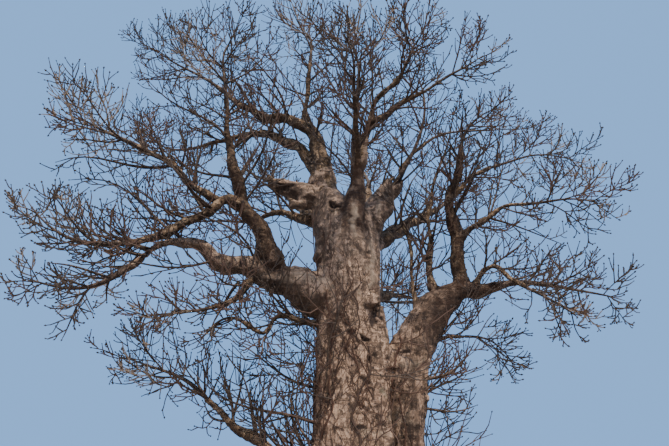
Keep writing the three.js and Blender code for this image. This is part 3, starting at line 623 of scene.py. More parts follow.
# Long thin limbs that are too slim for a solid of their own: root, tip, first direction and radius
RUNNERS = [
    ((-1.45, -0.45, 2.85), (-5.15, -0.6, 4.35), (-1, -0.1, 0.25), 0.06),
    ((-3.75, -1.2, 6.75), (-4.45, -1.35, 5.1), (-0.9, 0, -0.6), 0.055),
    ((-1.5, -0.35, 1.6), (-1.95, -0.45, 4.4), (-0.6, -0.1, 0.9), 0.07),
    ((-1.4, -0.5, 2.2), (-1.75, -0.75, 4.95), (-0.7, -0.3, 0.8), 0.045),
    ((-1.5, -0.1, 1.2), (-2.55, -0.3, 4.0), (-0.6, 0, 0.9), 0.055),
    ((0.62, 0.15, 10.1), (1.75, 0.5, 13.3), (-0.1, 0, 1), 0.045),
    ((0.95, 0.3, 10.3), (2.6, 1.2, 12.6), (0.3, 0.2, 1), 0.04),
    ((1.55, -0.1, 4.1), (3.3, -0.5, 5.3), (1, -0.2, 0.1), 0.065),
    ((1.5, -0.1, 3.3), (3.0, -0.8, 3.3), (1, -0.3, -0.1), 0.05),
    ((-1.3, 0.3, 3.9), (-4.3, 1.6, 5.6), (-1, 0.3, 0.3), 0.055),
    ((1.5, 0.3, 3.6), (3.6, 2.0, 5.0), (1, 0.6, 0.2), 0.05),
    ((-0.2, 1.0, 3.6), (0.5, 4.0, 5.3), (0.1, 1, 0.3), 0.055),
    ((-0.9, 0.9, 4.6), (-2.4, 3.6, 6.6), (-0.3, 1, 0.3), 0.05),
    ((-5.85, -2.2, 10.1), (-9.3, -2.4, 10.1), (-1, -0.1, 0.0), 0.055),
    ((-5.7, -2.2, 7.95), (-8.9, -2.2, 9.6), (-0.6, 0, 0.8), 0.05),
    ((-4.8, -1.9, 8.65), (-8.25, -2.9, 10.2), (-0.5, -0.3, 0.8), 0.05),
    ((-4.0, -1.7, 9.95), (-8.1, -0.9, 12.95), (-0.8, 0.3, 0.5), 0.05),
    ((-4.3, -1.9, 11.2), (-6.8, -2.7, 12.85), (-0.7, -0.2, 0.7), 0.05),
    ((-3.75, -1.45, 9.2), (-2.5, -2.3, 11.65), (0.6, -0.2, 0.8), 0.045),
    ((-1.4, 0.2, 11.7), (-3.95, 1.0, 17.85), (-0.3, 0.2, 1), 0.05),
    ((-2.8, 0.6, 13.7), (-4.6, -0.7, 15.95), (0.1, -0.4, 1), 0.05),
    ((-3.0, 1.1, 13.15), (-6.45, 3.0, 14.9), (-0.5, 0.6, 0.4), 0.045),
    ((-0.25, -0.9, 9.95), (-2.0, -2.7, 11.85), (-0.6, -0.5, 0.7), 0.045),
    ((-1.3, 0.1, 10.9), (-0.95, 1.0, 16.3), (0.5, 0.3, 0.8), 0.045),
    ((3.0, -0.42, 10.2), (2.85, -1.9, 12.75), (-0.4, -0.4, 1), 0.045),
    ((3.55, -0.3, 10.6), (5.15, -1.3, 12.05), (0.2, -0.4, 1), 0.04),
    ((-3.35, -0.95, 7.25), (-5.55, -2.9, 8.45), (-0.4, -0.5, 0.8), 0.05),
    ((-5.5, -1.75, 7.8), (-9.2, -0.9, 8.15), (-1, 0.4, 0.3), 0.05),
    ((3.95, -0.8, 9.0), (6.45, -0.3, 8.25), (0.8, 0.4, -0.1), 0.04),
    ((-4.4, -1.3, 7.4), (-6.95, -3.2, 6.65), (-0.6, -0.6, -0.2), 0.045),
    ((0.35, -1.65, 12.6), (-0.45, -2.6, 15.45), (-0.1, -0.3, 1), 0.04),
    ((-1.3, 1.5, 9.6), (-4.9, 2.6, 12.4), (-0.8, 0.1, 0.6), 0.06),
    ((-0.1, 1.4, 9.9), (-1.9, 3.4, 14.2), (-0.5, 0.3, 0.8), 0.06),
    ((0.9, 1.3, 9.2), (3.2, 2.4, 13.2), (0.5, 0.1, 0.9), 0.055),
    ((2.1, 2.7, 10.4), (5.9, 3.4, 10.6), (1, 0.1, 0.1), 0.055),
    ((0.9, 3.4, 7.7), (-1.9, 5.9, 9.4), (-0.8, 0.6, 0.3), 0.055),
    ((0.2, 1.8, 7.1), (3.6, 4.1, 7.6), (1, 0.4, 0.0), 0.055),
]


RUNNER_SWAY = 0.04
LONGEST_RUNNER_SHOOT = 1.6


def runners():
    """The long thin limbs, as shoots of the first order."""
    roots, tips, ways, radii = (np.array([row[part] for row in RUNNERS], float) for part in range(4))
    count = len(RUNNERS)
    seed = numbered_seeds(RUNNER_SEED, 1, count, 7919)
    level, upright = square_to(unit(ways))
    shoots = shoots_to(
        tips, 1, seed=seed, mass=np.full(count, -1), root=roots, ahead=unit(ways),
        sway=(level + upright) * RUNNER_SWAY, phase=2 * np.pi * chance(seed, 3), radius=radii,
        offshoot=radii, droop=np.zeros(count))
    shoots.offshoot = np.minimum(0.45 * shoots.length, LONGEST_RUNNER_SHOOT)
    return shoots


@functools.lru_cache(maxsize=None)
def crown():
    """Every shoot of the crown, order by order: stems, first shoots, second shoots and end twigs."""
    stems = MASS_STEMS
    first = thinned(joined([runners(), branched(stems, ORDERS[1]["count"]), bough_shoots()]))
    second = thinned(joined([branched(first, ORDERS[2]["count"]), stem_shoots()]))
    third = thinned(branched(second, ORDERS[3]["count"], (0.5, 1.0)))
    print("shoots", len(stems), len(first), len(second), len(third), flush=True)
    return stems, first, second, third


# Skeletons: loose lines with a thickness at each point, which node trees put a skin on

def add_object(name, data):
    thing = bpy.data.objects.new(name, data)
    bpy.context.scene.collection.objects.link(thing)
    return thing


def points_mesh(name, points):
    """A mesh of loose points."""
    mesh = bpy.data.meshes.new(name)
    mesh.vertices.add(len(points))
    mesh.vertices.foreach_set("co", points.astype(np.float32).ravel())
    return mesh


VALUE_KINDS = {
    "FLOAT": ("value", np.float32),
    "INT": ("value", np.int32),
    "FLOAT_VECTOR": ("vector", np.float32),
}


def keep(mesh, name, values, kind="FLOAT"):
    """Keeps a value for each point of a mesh, under a name that node trees and materials read."""
    field, number = VALUE_KINDS[kind]
    mesh.attributes.new(name, kind, "POINT").data.foreach_set(field, values.astype(number).ravel())


def skeleton(name, lines, tints=None):
    """An object of loose lines. lines holds pairs of points, in rows of equal length, and thickness."""
    edges, first = [], 0
    for line, _ in lines:
        count, rings = line.shape[:2]
        start = first + np.arange(count)[:, None] * rings + np.arange(rings - 1)
        edges.append(np.stack([start, start + 1], axis=-1).reshape(-1, 2))
        first += count * rings
    edges = np.vstack(edges)
    mesh = points_mesh(name, np.vstack([line.reshape(-1, 3) for line, _ in lines]))
    mesh.edges.add(len(edges))
    mesh.edges.foreach_set("vertices", edges.astype(np.int32).ravel())
    keep(mesh, "thick", np.concatenate([thickness.ravel() for _, thickness in lines]))
    if tints is not None:
        repeats = [np.repeat(tint, line.shape[1]) for tint, (line, _) in zip(tints, lines)]
        keep(mesh, "tint", np.concatenate(repeats), "INT")
    return add_object(name, mesh)


TIP_THINNING = 0.6  # the thickness of a shoot's very end against END_RADIUS
FOOT_SWELLING = 9  # how fast a foot's swelling dies out along the shoot


def shoot_lines(shoots, foot=None):
    """The lines of one order's shoots, each of which swells to its foot's thickness at its bough."""
    rings = ORDERS[shoots.order]["rings"]
    shares = np.arange(rings + 1) / rings
    points = np.stack([shoots.point(share) for share in shares], axis=1)
    thick = np.stack([shoots.thickness(share) for share in shares], axis=1)
    thick[:, -1] *= TIP_THINNING
    if foot is not None:
        thick += (foot - shoots.radius)[:, None] * np.exp(-shares * FOOT_SWELLING)
    return points, thick


# Node trees

def new_tree(name, inputs):
    """An empty node tree with its named inputs: label, socket type and default."""
    tree = bpy.data.node_groups.new(name, "GeometryNodeTree")
    tree.interface.new_socket("Geometry", in_out="INPUT", socket_type="NodeSocketGeometry")
    for label, kind, default in inputs:
        socket = tree.interface.new_socket(label, in_out="INPUT", socket_type=kind)
        if default is not None:
            socket.default_value = default
    tree.interface.new_socket("Geometry", in_out="OUTPUT", socket_type="NodeSocketGeometry")
    return tree, tree.nodes.new("NodeGroupInput"), tree.nodes.new("NodeGroupOutput")


def add_node(tree, kind, values=None, **settings):
    """A node with its settings, and its inputs linked to sockets or set to plain values."""
    node = tree.nodes.new(kind)
    for setting, value in settings.items():
        setattr(node, setting, value)
    for key, value in (values or {}).items():
        if isinstance(value, bpy.types.NodeSocket):
            tree.links.new(value, node.inputs[key])
        else:
            node.inputs[key].default_value = value
    return node


def made(tree, kind, values=None, **settings):
    """A new node's first output."""
    return add_node(tree, kind, values, **settings).outputs[0]


def maths(tree, operation, *values):
    return made(tree, "ShaderNodeMath", dict(enumerate(values)), operation=operation)


def kept(tree, name, kind="FLOAT"):
    """The values that keep stored under a name."""
    return made(tree, "GeometryNodeInputNamedAttribute", {"Name": name}, data_type=kind)


def finish_tree(tree, geometry, outlet, material):
    """Ends a tree in realized instances, smooth shading and its material."""
    real = made(tree, "GeometryNodeRealizeInstances", {"Geometry": geometry})
    smooth = made(tree, "GeometryNodeSetShadeSmooth", {"Geometry": real})
    painted = made(tree, "GeometryNodeSetMaterial", {"Geometry": smooth, "Material": material})
    tree.links.new(painted, outlet.inputs["Geometry"])
    return painted


def skin_tree():
    """Skins lines with closed tubes of their own thickness, in up to three materials by tint."""
    labels = ("Material", "Second Material", "Third Material")
    tree, inlet, outlet = new_tree("Skinned lines", [
        ("Sides", "NodeSocketInt", 6), *((label, "NodeSocketMaterial", None) for label in labels)])
    lines = made(tree, "GeometryNodeMeshToCurve", {"Mesh": inlet.outputs["Geometry"]})
    ring = made(tree, "GeometryNodeCurvePrimitiveCircle", {
        "Resolution": inlet.outputs["Sides"], "Radius": 1.0})
    tube = made(tree, "GeometryNodeCurveToMesh", {
        "Curve": lines, "Profile Curve": ring, "Scale": kept(tree, "thick"), "Fill Caps": True})
    geometry = finish_tree(tree, tube, outlet, inlet.outputs[labels[0]])
    tint = kept(tree, "tint", "INT")
    for shade, label in enumerate(labels[1:], 1):
        chosen = made(tree, "FunctionNodeCompare", {2: tint, 3: shade}, data_type="INT", operation="EQUAL")
        geometry = made(tree, "GeometryNodeSetMaterial", {
            "Geometry": geometry, "Selection": chosen, "Material": inlet.outputs[label]})
    tree.links.new(geometry, outlet.inputs["Geometry"])
    return tree


def bud_tree():
    """Sets a small knob of a few faces on each point, along its heading."""
    tree, inlet, outlet = new_tree("Bud knobs", [
        ("Radius", "NodeSocketFloat", 0.02),
        ("Stretch", "NodeSocketFloat", 1.7),
        ("Material", "NodeSocketMaterial", None),
    ])
    knob = made(tree, "GeometryNodeMeshUVSphere", {
        "Segments": 5, "Rings": 2, "Radius": inlet.outputs["Radius"]})
    heading = kept(tree, "heading", "FLOAT_VECTOR")
    long_knob = made(tree, "ShaderNodeCombineXYZ", {"X": 1.0, "Y": 1.0, "Z": inlet.outputs["Stretch"]})
    knobs = made(tree, "GeometryNodeInstanceOnPoints", {
        "Points": made(tree, "GeometryNodeMeshToPoints", {"Mesh": inlet.outputs["Geometry"]}),
        "Instance": made(tree, "GeometryNodeTransform", {"Geometry": knob, "Scale": long_knob}),
        "Rotation": made(tree, "FunctionNodeAlignRotationToVector", {"Vector": heading}),
        "Scale": kept(tree, "size"),
    })
    finish_tree(tree, knobs, outlet, inlet.outputs["Material"])
    return tree


# The kinds of the bark's relief, with their usual size, depth and flatness, and the detail of their noise
RELIEF = [("Swelling", 0.6, 0.05, 1.0, 2.0), ("Fold", 0.3, 0.03, 0.16, 2.0), ("Wrinkle", 0.2, 0.02, 2.8, 4.0)]


def relief_tree():
    """Pushes a skin in and out along its normals: broad swellings, upright folds and level wrinkles."""
    tree, inlet, outlet = new_tree("Bark relief", [
        *((f"{label} {part}", "NodeSocketFloat", value) for label, *values, _ in RELIEF
          for part, value in zip(("Size", "Depth", "Flatness"), values)),
        ("Material", "NodeSocketMaterial", None),
    ])
    position = made(tree, "GeometryNodeInputPosition")
    push = 0.0
    for label, *_, detail in RELIEF:
        size, depth, flatness = (inlet.outputs[f"{label} {part}"] for part in ("Size", "Depth", "Flatness"))
        squash = made(tree, "ShaderNodeCombineXYZ", {"X": 1.0, "Y": 1.0, "Z": flatness})
        at = made(tree, "ShaderNodeVectorMath", {0: position, 1: squash}, operation="MULTIPLY")
        lumps = add_node(tree, "ShaderNodeTexNoise", {
            "Vector": at, "Scale": maths(tree, "DIVIDE", 1.0, size), "Detail": detail}).outputs["Fac"]
        push = maths(tree, "ADD", push, maths(tree, "MULTIPLY", maths(tree, "SUBTRACT", lumps, 0.5), depth))
    normal = made(tree, "GeometryNodeInputNormal")
    offset = made(tree, "ShaderNodeVectorMath", {
        0: normal, "Scale": maths(tree, "MULTIPLY", push, 2.0)}, operation="SCALE")
    moved = made(tree, "GeometryNodeSetPosition", {
        "Geometry": inlet.outputs["Geometry"], "Offset": offset})
    finish_tree(tree, moved, outlet, inlet.outputs["Material"])
    return tree


def tree_named(name, build):
    return bpy.data.node_groups.get(name) or build()


def add_tree(piece, tree, **values):
    """Puts a node tree on a piece and sets its inputs by their sockets' identifiers."""
    modifier = piece.modifiers.new(tree.name, "NODES")
    modifier.node_group = tree
    wanted = {label.replace("_", " ").title(): value for label, value in values.items()}
    for socket in tree.interface.items_tree:
        if socket.in_out == "INPUT" and socket.name in wanted:
            modifier[socket.identifier] = wanted[socket.name]
    return modifier


def make_plain(piece):
    """Turns a piece's modifiers into a plain mesh."""
    evaluated = piece.evaluated_get(bpy.context.evaluated_depsgraph_get())
    mesh = bpy.data.meshes.new_from_object(evaluated)
    mesh.name = piece.name
    piece.modifiers.clear()
    piece.data = mesh
    return piece


def tubes(name, lines, sides, tints=None, **materials):
    """One object with closed tubes along its lines."""
    piece = skeleton(name, lines, tints)
    add_tree(piece, tree_named("Skinned lines", skin_tree), sides=sides, **materials)
    return make_plain(piece)


def place(piece, nodes=()):
    """Hands a finished piece to the frame."""
    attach(piece, BODY)
    if nodes:
        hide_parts(*nodes)
    piece.data.calc_loop_triangles()
    print(piece.name, len(piece.data.loop_triangles), "triangles", flush=True)
    return piece


# Bark

def stem_mesh(name, stations):
    """The fluted tube of a stem, cut level with the ground."""
    limb = stem_limb(name, stations, STEM_RINGS_PER_STATION)
    angles = np.arange(STEM_SIDES) / STEM_SIDES * 2 * np.pi
    mesh = bmesh.new()
    across = SIDEWAYS if abs(limb.headings[0][2]) > STEEP else UP
    rings = []
    for centre, heading, radius in zip(limb.centres, limb.headings, limb.radii):
        across = unit(across - heading * across.dot(heading))
        reach = (radius * fluted(angles, centre[2]))[:, None]
        ways = np.cos(angles)[:, None] * across + np.sin(angles)[:, None] * np.cross(heading, across)
        rings.append([mesh.verts.new(point) for point in centre + reach * ways])
    for below, above in zip(rings[:-1], rings[1:]):
        for corner in range(STEM_SIDES):
            following = (corner + 1) % STEM_SIDES
            mesh.faces.new((below[corner], below[following], above[following], above[corner]))
    mesh.faces.new(rings[0][::-1])
    mesh.faces.new(rings[-1])
    result = bpy.data.meshes.new(name)
    mesh.to_mesh(result)
    mesh.free()
    return result


COLLAR = 0.32  # how much a bough swells where it leaves its parent
GNARL = 0.13  # how much a slim bough's thickness wavers along it
BEND_WAVER = 0.3  # how far a slim bough's axis wavers, against its radius
SLIM = 0.16  # boughs thicker than this waver less
SWELLING_PACES = (2.1, 4.7, 8.3)
BEND_PACES = (3.1, 4.3)
STRAIGHT_END = 0.8  # how far from its ends a bough's axis begins to waver fully
IN_LINE = 0.8  # boughs that leave their parent more in line than this don't start narrow inside it
INNER_WIDTH = 0.3  # how wide the others are at the start of their axis, inside the parent
INNER_REACH = 0.8  # where on the way out they are at full width
FOOT_REACH = 2.2  # how far the stems' skin runs up a bough, against its radius
FOOT_WIDTH = 1.05  # how wide that skin is at first, against the bough
FOOT_LOSS = 0.35  # how much narrower it is at its end, where the bough's own skin covers it


def gnarled(limb, index, surroundings):
    """A bough's line and thickness with a collar at its foot, swellings and a slightly crooked axis."""
    out = surroundings.clear(limb.centres)
    parent_heading, parent_radius = surroundings.nearest(limb.centres[0])
    collar = COLLAR * np.clip(1.6 * (parent_radius / limb.radii[0] - 1), 0, 1)
    width = 1 + collar * np.exp(-np.maximum(out, 0) / (1.1 * limb.radii))
    if limb.headings[0].dot(parent_heading) < IN_LINE:
        emerged = (out - out[0]) / (INNER_REACH * max(-out[0], 0.02))
        width *= np.clip(INNER_WIDTH + (1 - INNER_WIDTH) * emerged, INNER_WIDTH, 1)
    travelled = travel(limb.centres)
    slimness = np.minimum(1, SLIM / limb.radii)
    phases = [2 * np.pi * chance(seed_of(index, 2), salt) for salt in range(6)]
    waver = sum(np.sin(pace * travelled + phases[turn]) / (1 + 0.5 * turn)
                for turn, pace in enumerate(SWELLING_PACES))
    level, upright = square_to(limb.headings)
    ends = risen(np.minimum(travelled, travelled[-1] - travelled), 0, STRAIGHT_END)
    aside = BEND_WAVER * slimness * limb.radii * ends
    centres = limb.centres
    for way, pace, phase in zip((level, upright), BEND_PACES, phases[3:]):
        centres = centres + way * (aside * np.sin(pace * travelled + phase))[:, None]
    return centres, limb.radii * width * (1 + GNARL * slimness * waver)


@functools.lru_cache(maxsize=None)
def fine_boughs():
    """Every bough at the skin's ring count, with its gnarled line and thickness, by name."""
    found = {}
    for index, bough in enumerate(BOUGHS):
        limb = bough_limb(bough, BOUGH_RINGS_PER_BEND)
        found[bough["name"]] = gnarled(limb, index, Surroundings(RULE_STEMS + RULE_BOUGHS[:index]))
    return found


def feet_on_bole():
    """The feet of the boughs that start on the stems' own skin, each running out under the bough's bark."""
    bole = RULE_STEMS + [limb for limb in RULE_BOUGHS if limb.name in BOLE_BOUGHS]
    surroundings = Surroundings(bole)
    feet = []
    for limb in RULE_BOUGHS:
        if limb.name in BOLE_BOUGHS or surroundings.clear(limb.centres[:1])[0] > 0:
            continue
        centres, radii = fine_boughs()[limb.name]
        reach = FOOT_REACH * limb.radii[0]
        out = surroundings.clear(centres)
        beyond = np.flatnonzero(out > reach)
        end = beyond[0] + 1 if len(beyond) else len(out)
        share = np.clip(out[:end] / reach, 0, 1)
        feet.append((centres[:end], radii[:end] * (FOOT_WIDTH - FOOT_LOSS * share**2)))
    return feet


SPLINTER_ROOT = 0.8  # how deep splinters are rooted, against the broken bough's radius
SPLINTER_TAPER = np.array([1.0, 1.0, 0.85, 0.5])
SLIVER_TAPER = np.array([1.0, 0.9, 0.6, 0.15])
SNAG_TAPER = np.array([1.3, 1.1, 1.0, 1.0, 0.85])


def round_end(centres, turn):
    """The direction of a broken end, and the one that points outwards from it at a turn."""
    heading = unit(centres[-1] - centres[-3])
    level, upright = square_to(heading[None])
    return heading, level[0] * np.cos(turn) + upright[0] * np.sin(turn)


def ragged_end(centres, radii, seed, count):
    """Splinters round a broken bough's end, which leave its middle hollow."""
    splinters = []
    for number in range(count):
        draw = [chance(seed_of(seed, salt), number) for salt in (3, 4, 5)]
        heading, outward = round_end(centres, 2 * np.pi * (number + 0.5 * draw[0]) / count)
        long = radii[-1] * (0.35 + 0.9 * draw[1])
        thick = radii[-1] * (0.24 + 0.14 * draw[2])
        foot = centres[-1] + outward * (radii[-1] - 0.8 * thick) - heading * SPLINTER_ROOT * radii[-1]
        reach = np.linspace(0, SPLINTER_ROOT * radii[-1] + long, len(SPLINTER_TAPER))[:, None]
        splinters.append((foot + heading * reach + outward * 0.02, thick * SPLINTER_TAPER))
    return splinters


SLIVERS = 26
BOLE_SIDES, BOUGH_SIDES, SLIVER_SIDES, CREEPER_SIDES = 28, 20, 4, 6


def slivers(centres, radii, seed):
    """Thin torn strips of wood that stand out from a broken bough's end."""
    found = []
    for number in range(SLIVERS):
        draw = [chance(seed_of(seed, number), salt) for salt in range(5)]
        heading, outward = round_end(centres, 2 * np.pi * draw[0])
        rim = outward * radii[-1] * (0.6 + 0.3 * draw[1])
        foot = centres[-1] + rim - heading * radii[-1] * 0.6 * draw[2]
        long = radii[-1] * (0.9 + 1.3 * draw[3])
        share = np.linspace(0, 1, len(SLIVER_TAPER))[:, None]
        line = foot + (heading + outward * 0.3 * (draw[4] - 0.3)) * long * share + outward * 0.06 * share**2
        found.append((line, (0.014 + 0.022 * draw[1]) * SLIVER_TAPER))
    return found


def with_skin(name, lines, sides, material=None):
    """One object with the skins of several lines, each a pair of centres and radii."""
    return tubes(name, [(centres[None], radii[None]) for centres, radii in lines], sides, material=material)


def bark_skin(piece, kind, voxel, smoothing, **relief):
    """Fuses a piece's tubes into one skin, with the relief and the colours of one kind of bark."""
    fuse(piece, voxel, smoothing)
    add_tree(piece, tree_named("Bark relief", relief_tree), material=bark_of_kind(kind), **relief)
    return make_plain(piece)


def add_mesh(piece, mesh):
    """Joins another mesh's faces into a piece."""
    both = bmesh.new()
    both.from_mesh(piece.data)
    both.from_mesh(mesh)
    both.to_mesh(piece.data)
    both.free()


def fuse(piece, voxel, smoothing):
    """Makes one closed skin of a piece's overlapping tubes and rounds the creases between them."""
    remesh = piece.modifiers.new("Fused skin", "REMESH")
    remesh.mode = "VOXEL"
    remesh.voxel_size = voxel
    smooth = piece.modifiers.new("Rounded creases", "SMOOTH")
    smooth.factor = 0.5
    smooth.iterations = smoothing


def cut_at_ground(piece):
    """Cuts a piece level at the ground and closes it there."""
    mesh = bmesh.new()
    mesh.from_mesh(piece.data)
    everything = mesh.verts[:] + mesh.edges[:] + mesh.faces[:]
    cut = bmesh.ops.bisect_plane(
        mesh, geom=everything, plane_co=(0, 0, 0), plane_no=(0, 0, 1), clear_inner=True)
    edges = [part for part in cut["geom_cut"] if isinstance(part, bmesh.types.BMEdge)]
    bmesh.ops.triangle_fill(mesh, use_beauty=True, edges=edges, normal=(0, 0, -1))
    bmesh.ops.recalc_face_normals(mesh, faces=mesh.faces[:])
    mesh.to_mesh(piece.data)
    mesh.free()


# Materials

def shader(name, roughness, specular=0.25):
    material = bpy.data.materials.new(name)
    material.use_nodes = True
    tree = material.node_tree
    tree.nodes.clear()
    surface = add_node(tree, "ShaderNodeBsdfPrincipled", {
        "Roughness": roughness, "Specular IOR Level": specular})
    add_node(tree, "ShaderNodeOutputMaterial", {"Surface": surface.outputs[0]})
    return material, tree, surface


def noise(tree, at, scale, detail=4.0, roughness=0.55, stretch=(1, 1, 1)):
    mapped = made(tree, "ShaderNodeMapping", {"Vector": at, "Scale": stretch})
    return add_node(tree, "ShaderNodeTexNoise", {
        "Vector": mapped, "Scale": scale, "Detail": detail, "Roughness": roughness}).outputs["Fac"]


def ramp(tree, value, *stops):
    """A ramp of greys: each stop is a place and its grey."""
    node = add_node(tree, "ShaderNodeValToRGB", {"Fac": value})
    while len(node.color_ramp.elements) < len(stops):
        node.color_ramp.elements.new(0.5)
    for element, (at, grey) in zip(node.color_ramp.elements, stops):
        element.position = at
        element.color = (grey, grey, grey, 1)
    return node.outputs["Color"]


def mixed(tree, first, second, share):
    """One colour laid over another. Each is a colour or a socket, and share is a socket."""
    node = add_node(tree, "ShaderNodeMix", {0: share}, data_type="RGBA", blend_type="MIX")
    for socket, value in ((6, first), (7, second)):
        if isinstance(value, bpy.types.NodeSocket):
            tree.links.new(value, node.inputs[socket])
        else:
            node.inputs[socket].default_value = (*value, 1)
    return node.outputs[2]


def reached(tree, value, start, end, most):
    """A share that grows from 0 at start to most at end."""
    return made(tree, "ShaderNodeMapRange", {
        "Value": value, "From Min": start, "From Max": end, "To Min": 0.0, "To Max": most})


# The patterns of the bark: scale, detail, roughness and stretch of their noise, and the stops of their ramp
PATTERNS = {
    "patches": ((0.9, 5.0, 0.6, (1, 1, 0.6)), (0.36, 0.0), (0.6, 1.0)),
    "zones": ((0.7, 6.0, 0.6, (1, 1, 0.5)), (0.5, 0.0), (0.68, 0.5)),
    "mottle": ((5.0, 5.0, 0.6, (1, 1, 0.7)), (0.515, 0.0), (0.53, 0.65)),
    "flecks": ((7.5, 3.0, 0.55), (0.545, 0.0), (0.56, 0.75)),
    "streaks": ((1.7, 7.0, 0.68, (3.4, 3.4, 0.45)), (0.53, 0.0), (0.545, 0.6)),
    "creased zones": ((1.1, 3.0), (0.42, 0.0), (0.58, 1.0)),
    "creases": ((2.2, 7.0, 0.6, (0.6, 0.6, 4.5)), (0.486, 0.0), (0.5, 1.0), (0.514, 0.0)),
    "veins": ((2.4, 6.0, 0.6, (1.5, 1.5, 0.6)), (0.489, 0.0), (0.5, 1.0), (0.511, 0.0)),
    "lichen": ((3.1, 8.0, 0.75), (0.58, 0.0), (0.66, 0.4)),
    # Patches that break up the painted highlight on the bark's upper sides
    "highlight_patches": ((4.5, 7.0, 0.68), (0.47, 0.12), (0.51, 1.0)),
    "rough": ((4.5, 5.0, 0.6), (0.42, 0.65), (0.54, 1.0)),
    "broken": ((7.0, 7.0, 0.7, (1, 1, 0.5)), (0.4, 0.45), (0.54, 1.0)),
}
SWIRL_SCALE = 1.6  # of the noise that bends the veins
# Where these colours begin and are full, and their share there: by height, and by how far the bark faces up.
# The second paints shade on the bark that faces down, and the third a highlight on the bark that faces up.
AGED = (4.5, 8.5, 0.6)
SHADED_BENEATH = (0.05, -0.6, 0.85)
LIT_ABOVE = (0.3, 0.8, 0.8)
CRACK_DEPTH = 0.3
GRAIN_DEPTH = 0.3
BARK_BUMP = 0.13


def bark_material(name, pale, middle, dark, underside, aged):
    """Mottled, wrinkled bark with a painted highlight on top and painted shade beneath, aged high up, with
    scars and bare wood.
    """
    material, tree, surface = shader(name, 0.9)
    at = add_node(tree, "ShaderNodeTexCoord").outputs["Object"]
    swirl = add_node(tree, "ShaderNodeTexNoise", {
        "Vector": at, "Scale": SWIRL_SCALE, "Detail": 3.0}).outputs["Color"]
    bent = made(tree, "ShaderNodeVectorMath", {0: at, 1: swirl}, operation="ADD")
    pattern = {label: ramp(tree, noise(tree, bent if label == "veins" else at, *form), *stops)
               for label, (form, *stops) in PATTERNS.items()}
    height = add_node(tree, "ShaderNodeSeparateXYZ", {0: at}).outputs["Z"]
    normal = add_node(tree, "ShaderNodeNewGeometry").outputs["Normal"]
    slope = add_node(tree, "ShaderNodeSeparateXYZ", {0: normal}).outputs["Z"]
    marked = {label: add_node(tree, "ShaderNodeAttribute", attribute_name=label).outputs["Fac"]
              for label in ("ruddy", "bare", "scar")}
    creases = maths(tree, "MULTIPLY", pattern["creases"], pattern["creased zones"])
    colour = middle
    for tint, share in (
        (pale, pattern["patches"]),
        (aged, reached(tree, height, *AGED)),
        (dark, pattern["zones"]),
        (dark, pattern["mottle"]),
        (pale, pattern["flecks"]),
        (dark, pattern["streaks"]),
        (dark, creases),
        (dark, pattern["veins"]),
        (colour_of("lichen"), pattern["lichen"]),
        # Painted shade on the bark that faces down, and a painted highlight, in patches, on the bark that
        # faces up
        (underside, reached(tree, slope, *SHADED_BENEATH)),
        (pale, maths(tree, "MULTIPLY", reached(tree, slope, *LIT_ABOVE), pattern["highlight_patches"])),
        # The ruddy mark is partly the reddish bark of the risers and partly painted shade over the right arm
        # and the centre bough
        (colour_of("ruddy_bark"), maths(tree, "MULTIPLY", marked["ruddy"], pattern["rough"])),
        (colour_of("bare_wood"), maths(tree, "MULTIPLY", marked["bare"], pattern["broken"])),
        # The scar mark holds real scars and also painted shade in the fold between the stems and in broad
        # dark zones
        (colour_of("scar"), maths(tree, "MULTIPLY", marked["scar"], pattern["broken"])),
    ):
        colour = mixed(tree, colour, tint, share)
    tree.links.new(colour, surface.inputs["Base Color"])
    coarse = noise(tree, at, 8.0, 8.0, 0.75, (1, 1, 1.5))
    relief = maths(tree, "MULTIPLY_ADD", noise(tree, at, 26.0, 8.0, 0.75), GRAIN_DEPTH, coarse)
    for cracks in (creases, pattern["veins"]):
        relief = maths(tree, "SUBTRACT", relief, maths(tree, "MULTIPLY", cracks, CRACK_DEPTH))
    bump = made(tree, "ShaderNodeBump", {"Height": relief, "Strength": 1.0, "Distance": BARK_BUMP})
    tree.links.new(bump, surface.inputs["Normal"])
    return material


def twig_material(name, colour, roughness=0.85):
    material, _, surface = shader(name, roughness, 0.2)
    surface.inputs["Base Color"].default_value = (*colour, 1)
    return material


def material_named(name, build, *values):
    return bpy.data.materials.get(name) or build(name, *values)


def colour_of(name):
    return tuple(getattr(bpy.context.scene.baobab_colours, name))


def bark_of_kind(kind):
    """The bark of the trunk, the boughs or the shoots, in its five colours."""
    parts = ("pale", "middle", "dark", "underside", "aged")
    return material_named(kind + " bark", bark_material, *(colour_of(f"{kind}_{part}") for part in parts))


MATERIAL_INPUTS = ("material", "second_material", "third_material")


def twig_tints():
    return [material_named(tint + " twig bark", twig_material, colour_of(tint + "_twig"))
            for tint in ("brown", "reddish", "grey")]


def creeper_barks():
    return [material_named(f"{tint} bark", twig_material, colour_of(colour)) for tint, colour in (
        ("creeper", "creeper"), ("reddish creeper", "reddish_creeper"), ("grey twig", "grey_twig"))]


# Operators

def length(name, description, default, least):
    return bpy.props.FloatProperty(
        name=name, description=description, default=default, min=least, unit="LENGTH", subtype="DISTANCE")


class BAOBAB_PG_sizes(bpy.types.PropertyGroup):
    stem_voxel: length("Stem Detail", "Smallest shape in the skin of the stems", 0.0445, 0.02)
    bough_voxel: length("Bough Detail", "Smallest shape in the skin of the boughs", 0.03, 0.015)
    swelling: length("Swelling Depth", "How far the broad swellings of the trunk stand out", 0.07, 0)
    fold: length("Fold Depth", "How deep the upright folds of the trunk are", 0.06, 0)
    wrinkle: length("Wrinkle Depth", "How deep the wrinkles of the bark are", 0.03, 0)
    bud_radius: length("Bud Radius", "Radius of the knob at the end of each twig", 0.024, 0.002)


def tone(name, description, *default):
    return bpy.props.FloatVectorProperty(
        name=name, description=description, default=default, size=3, min=0, max=1, subtype="COLOR")


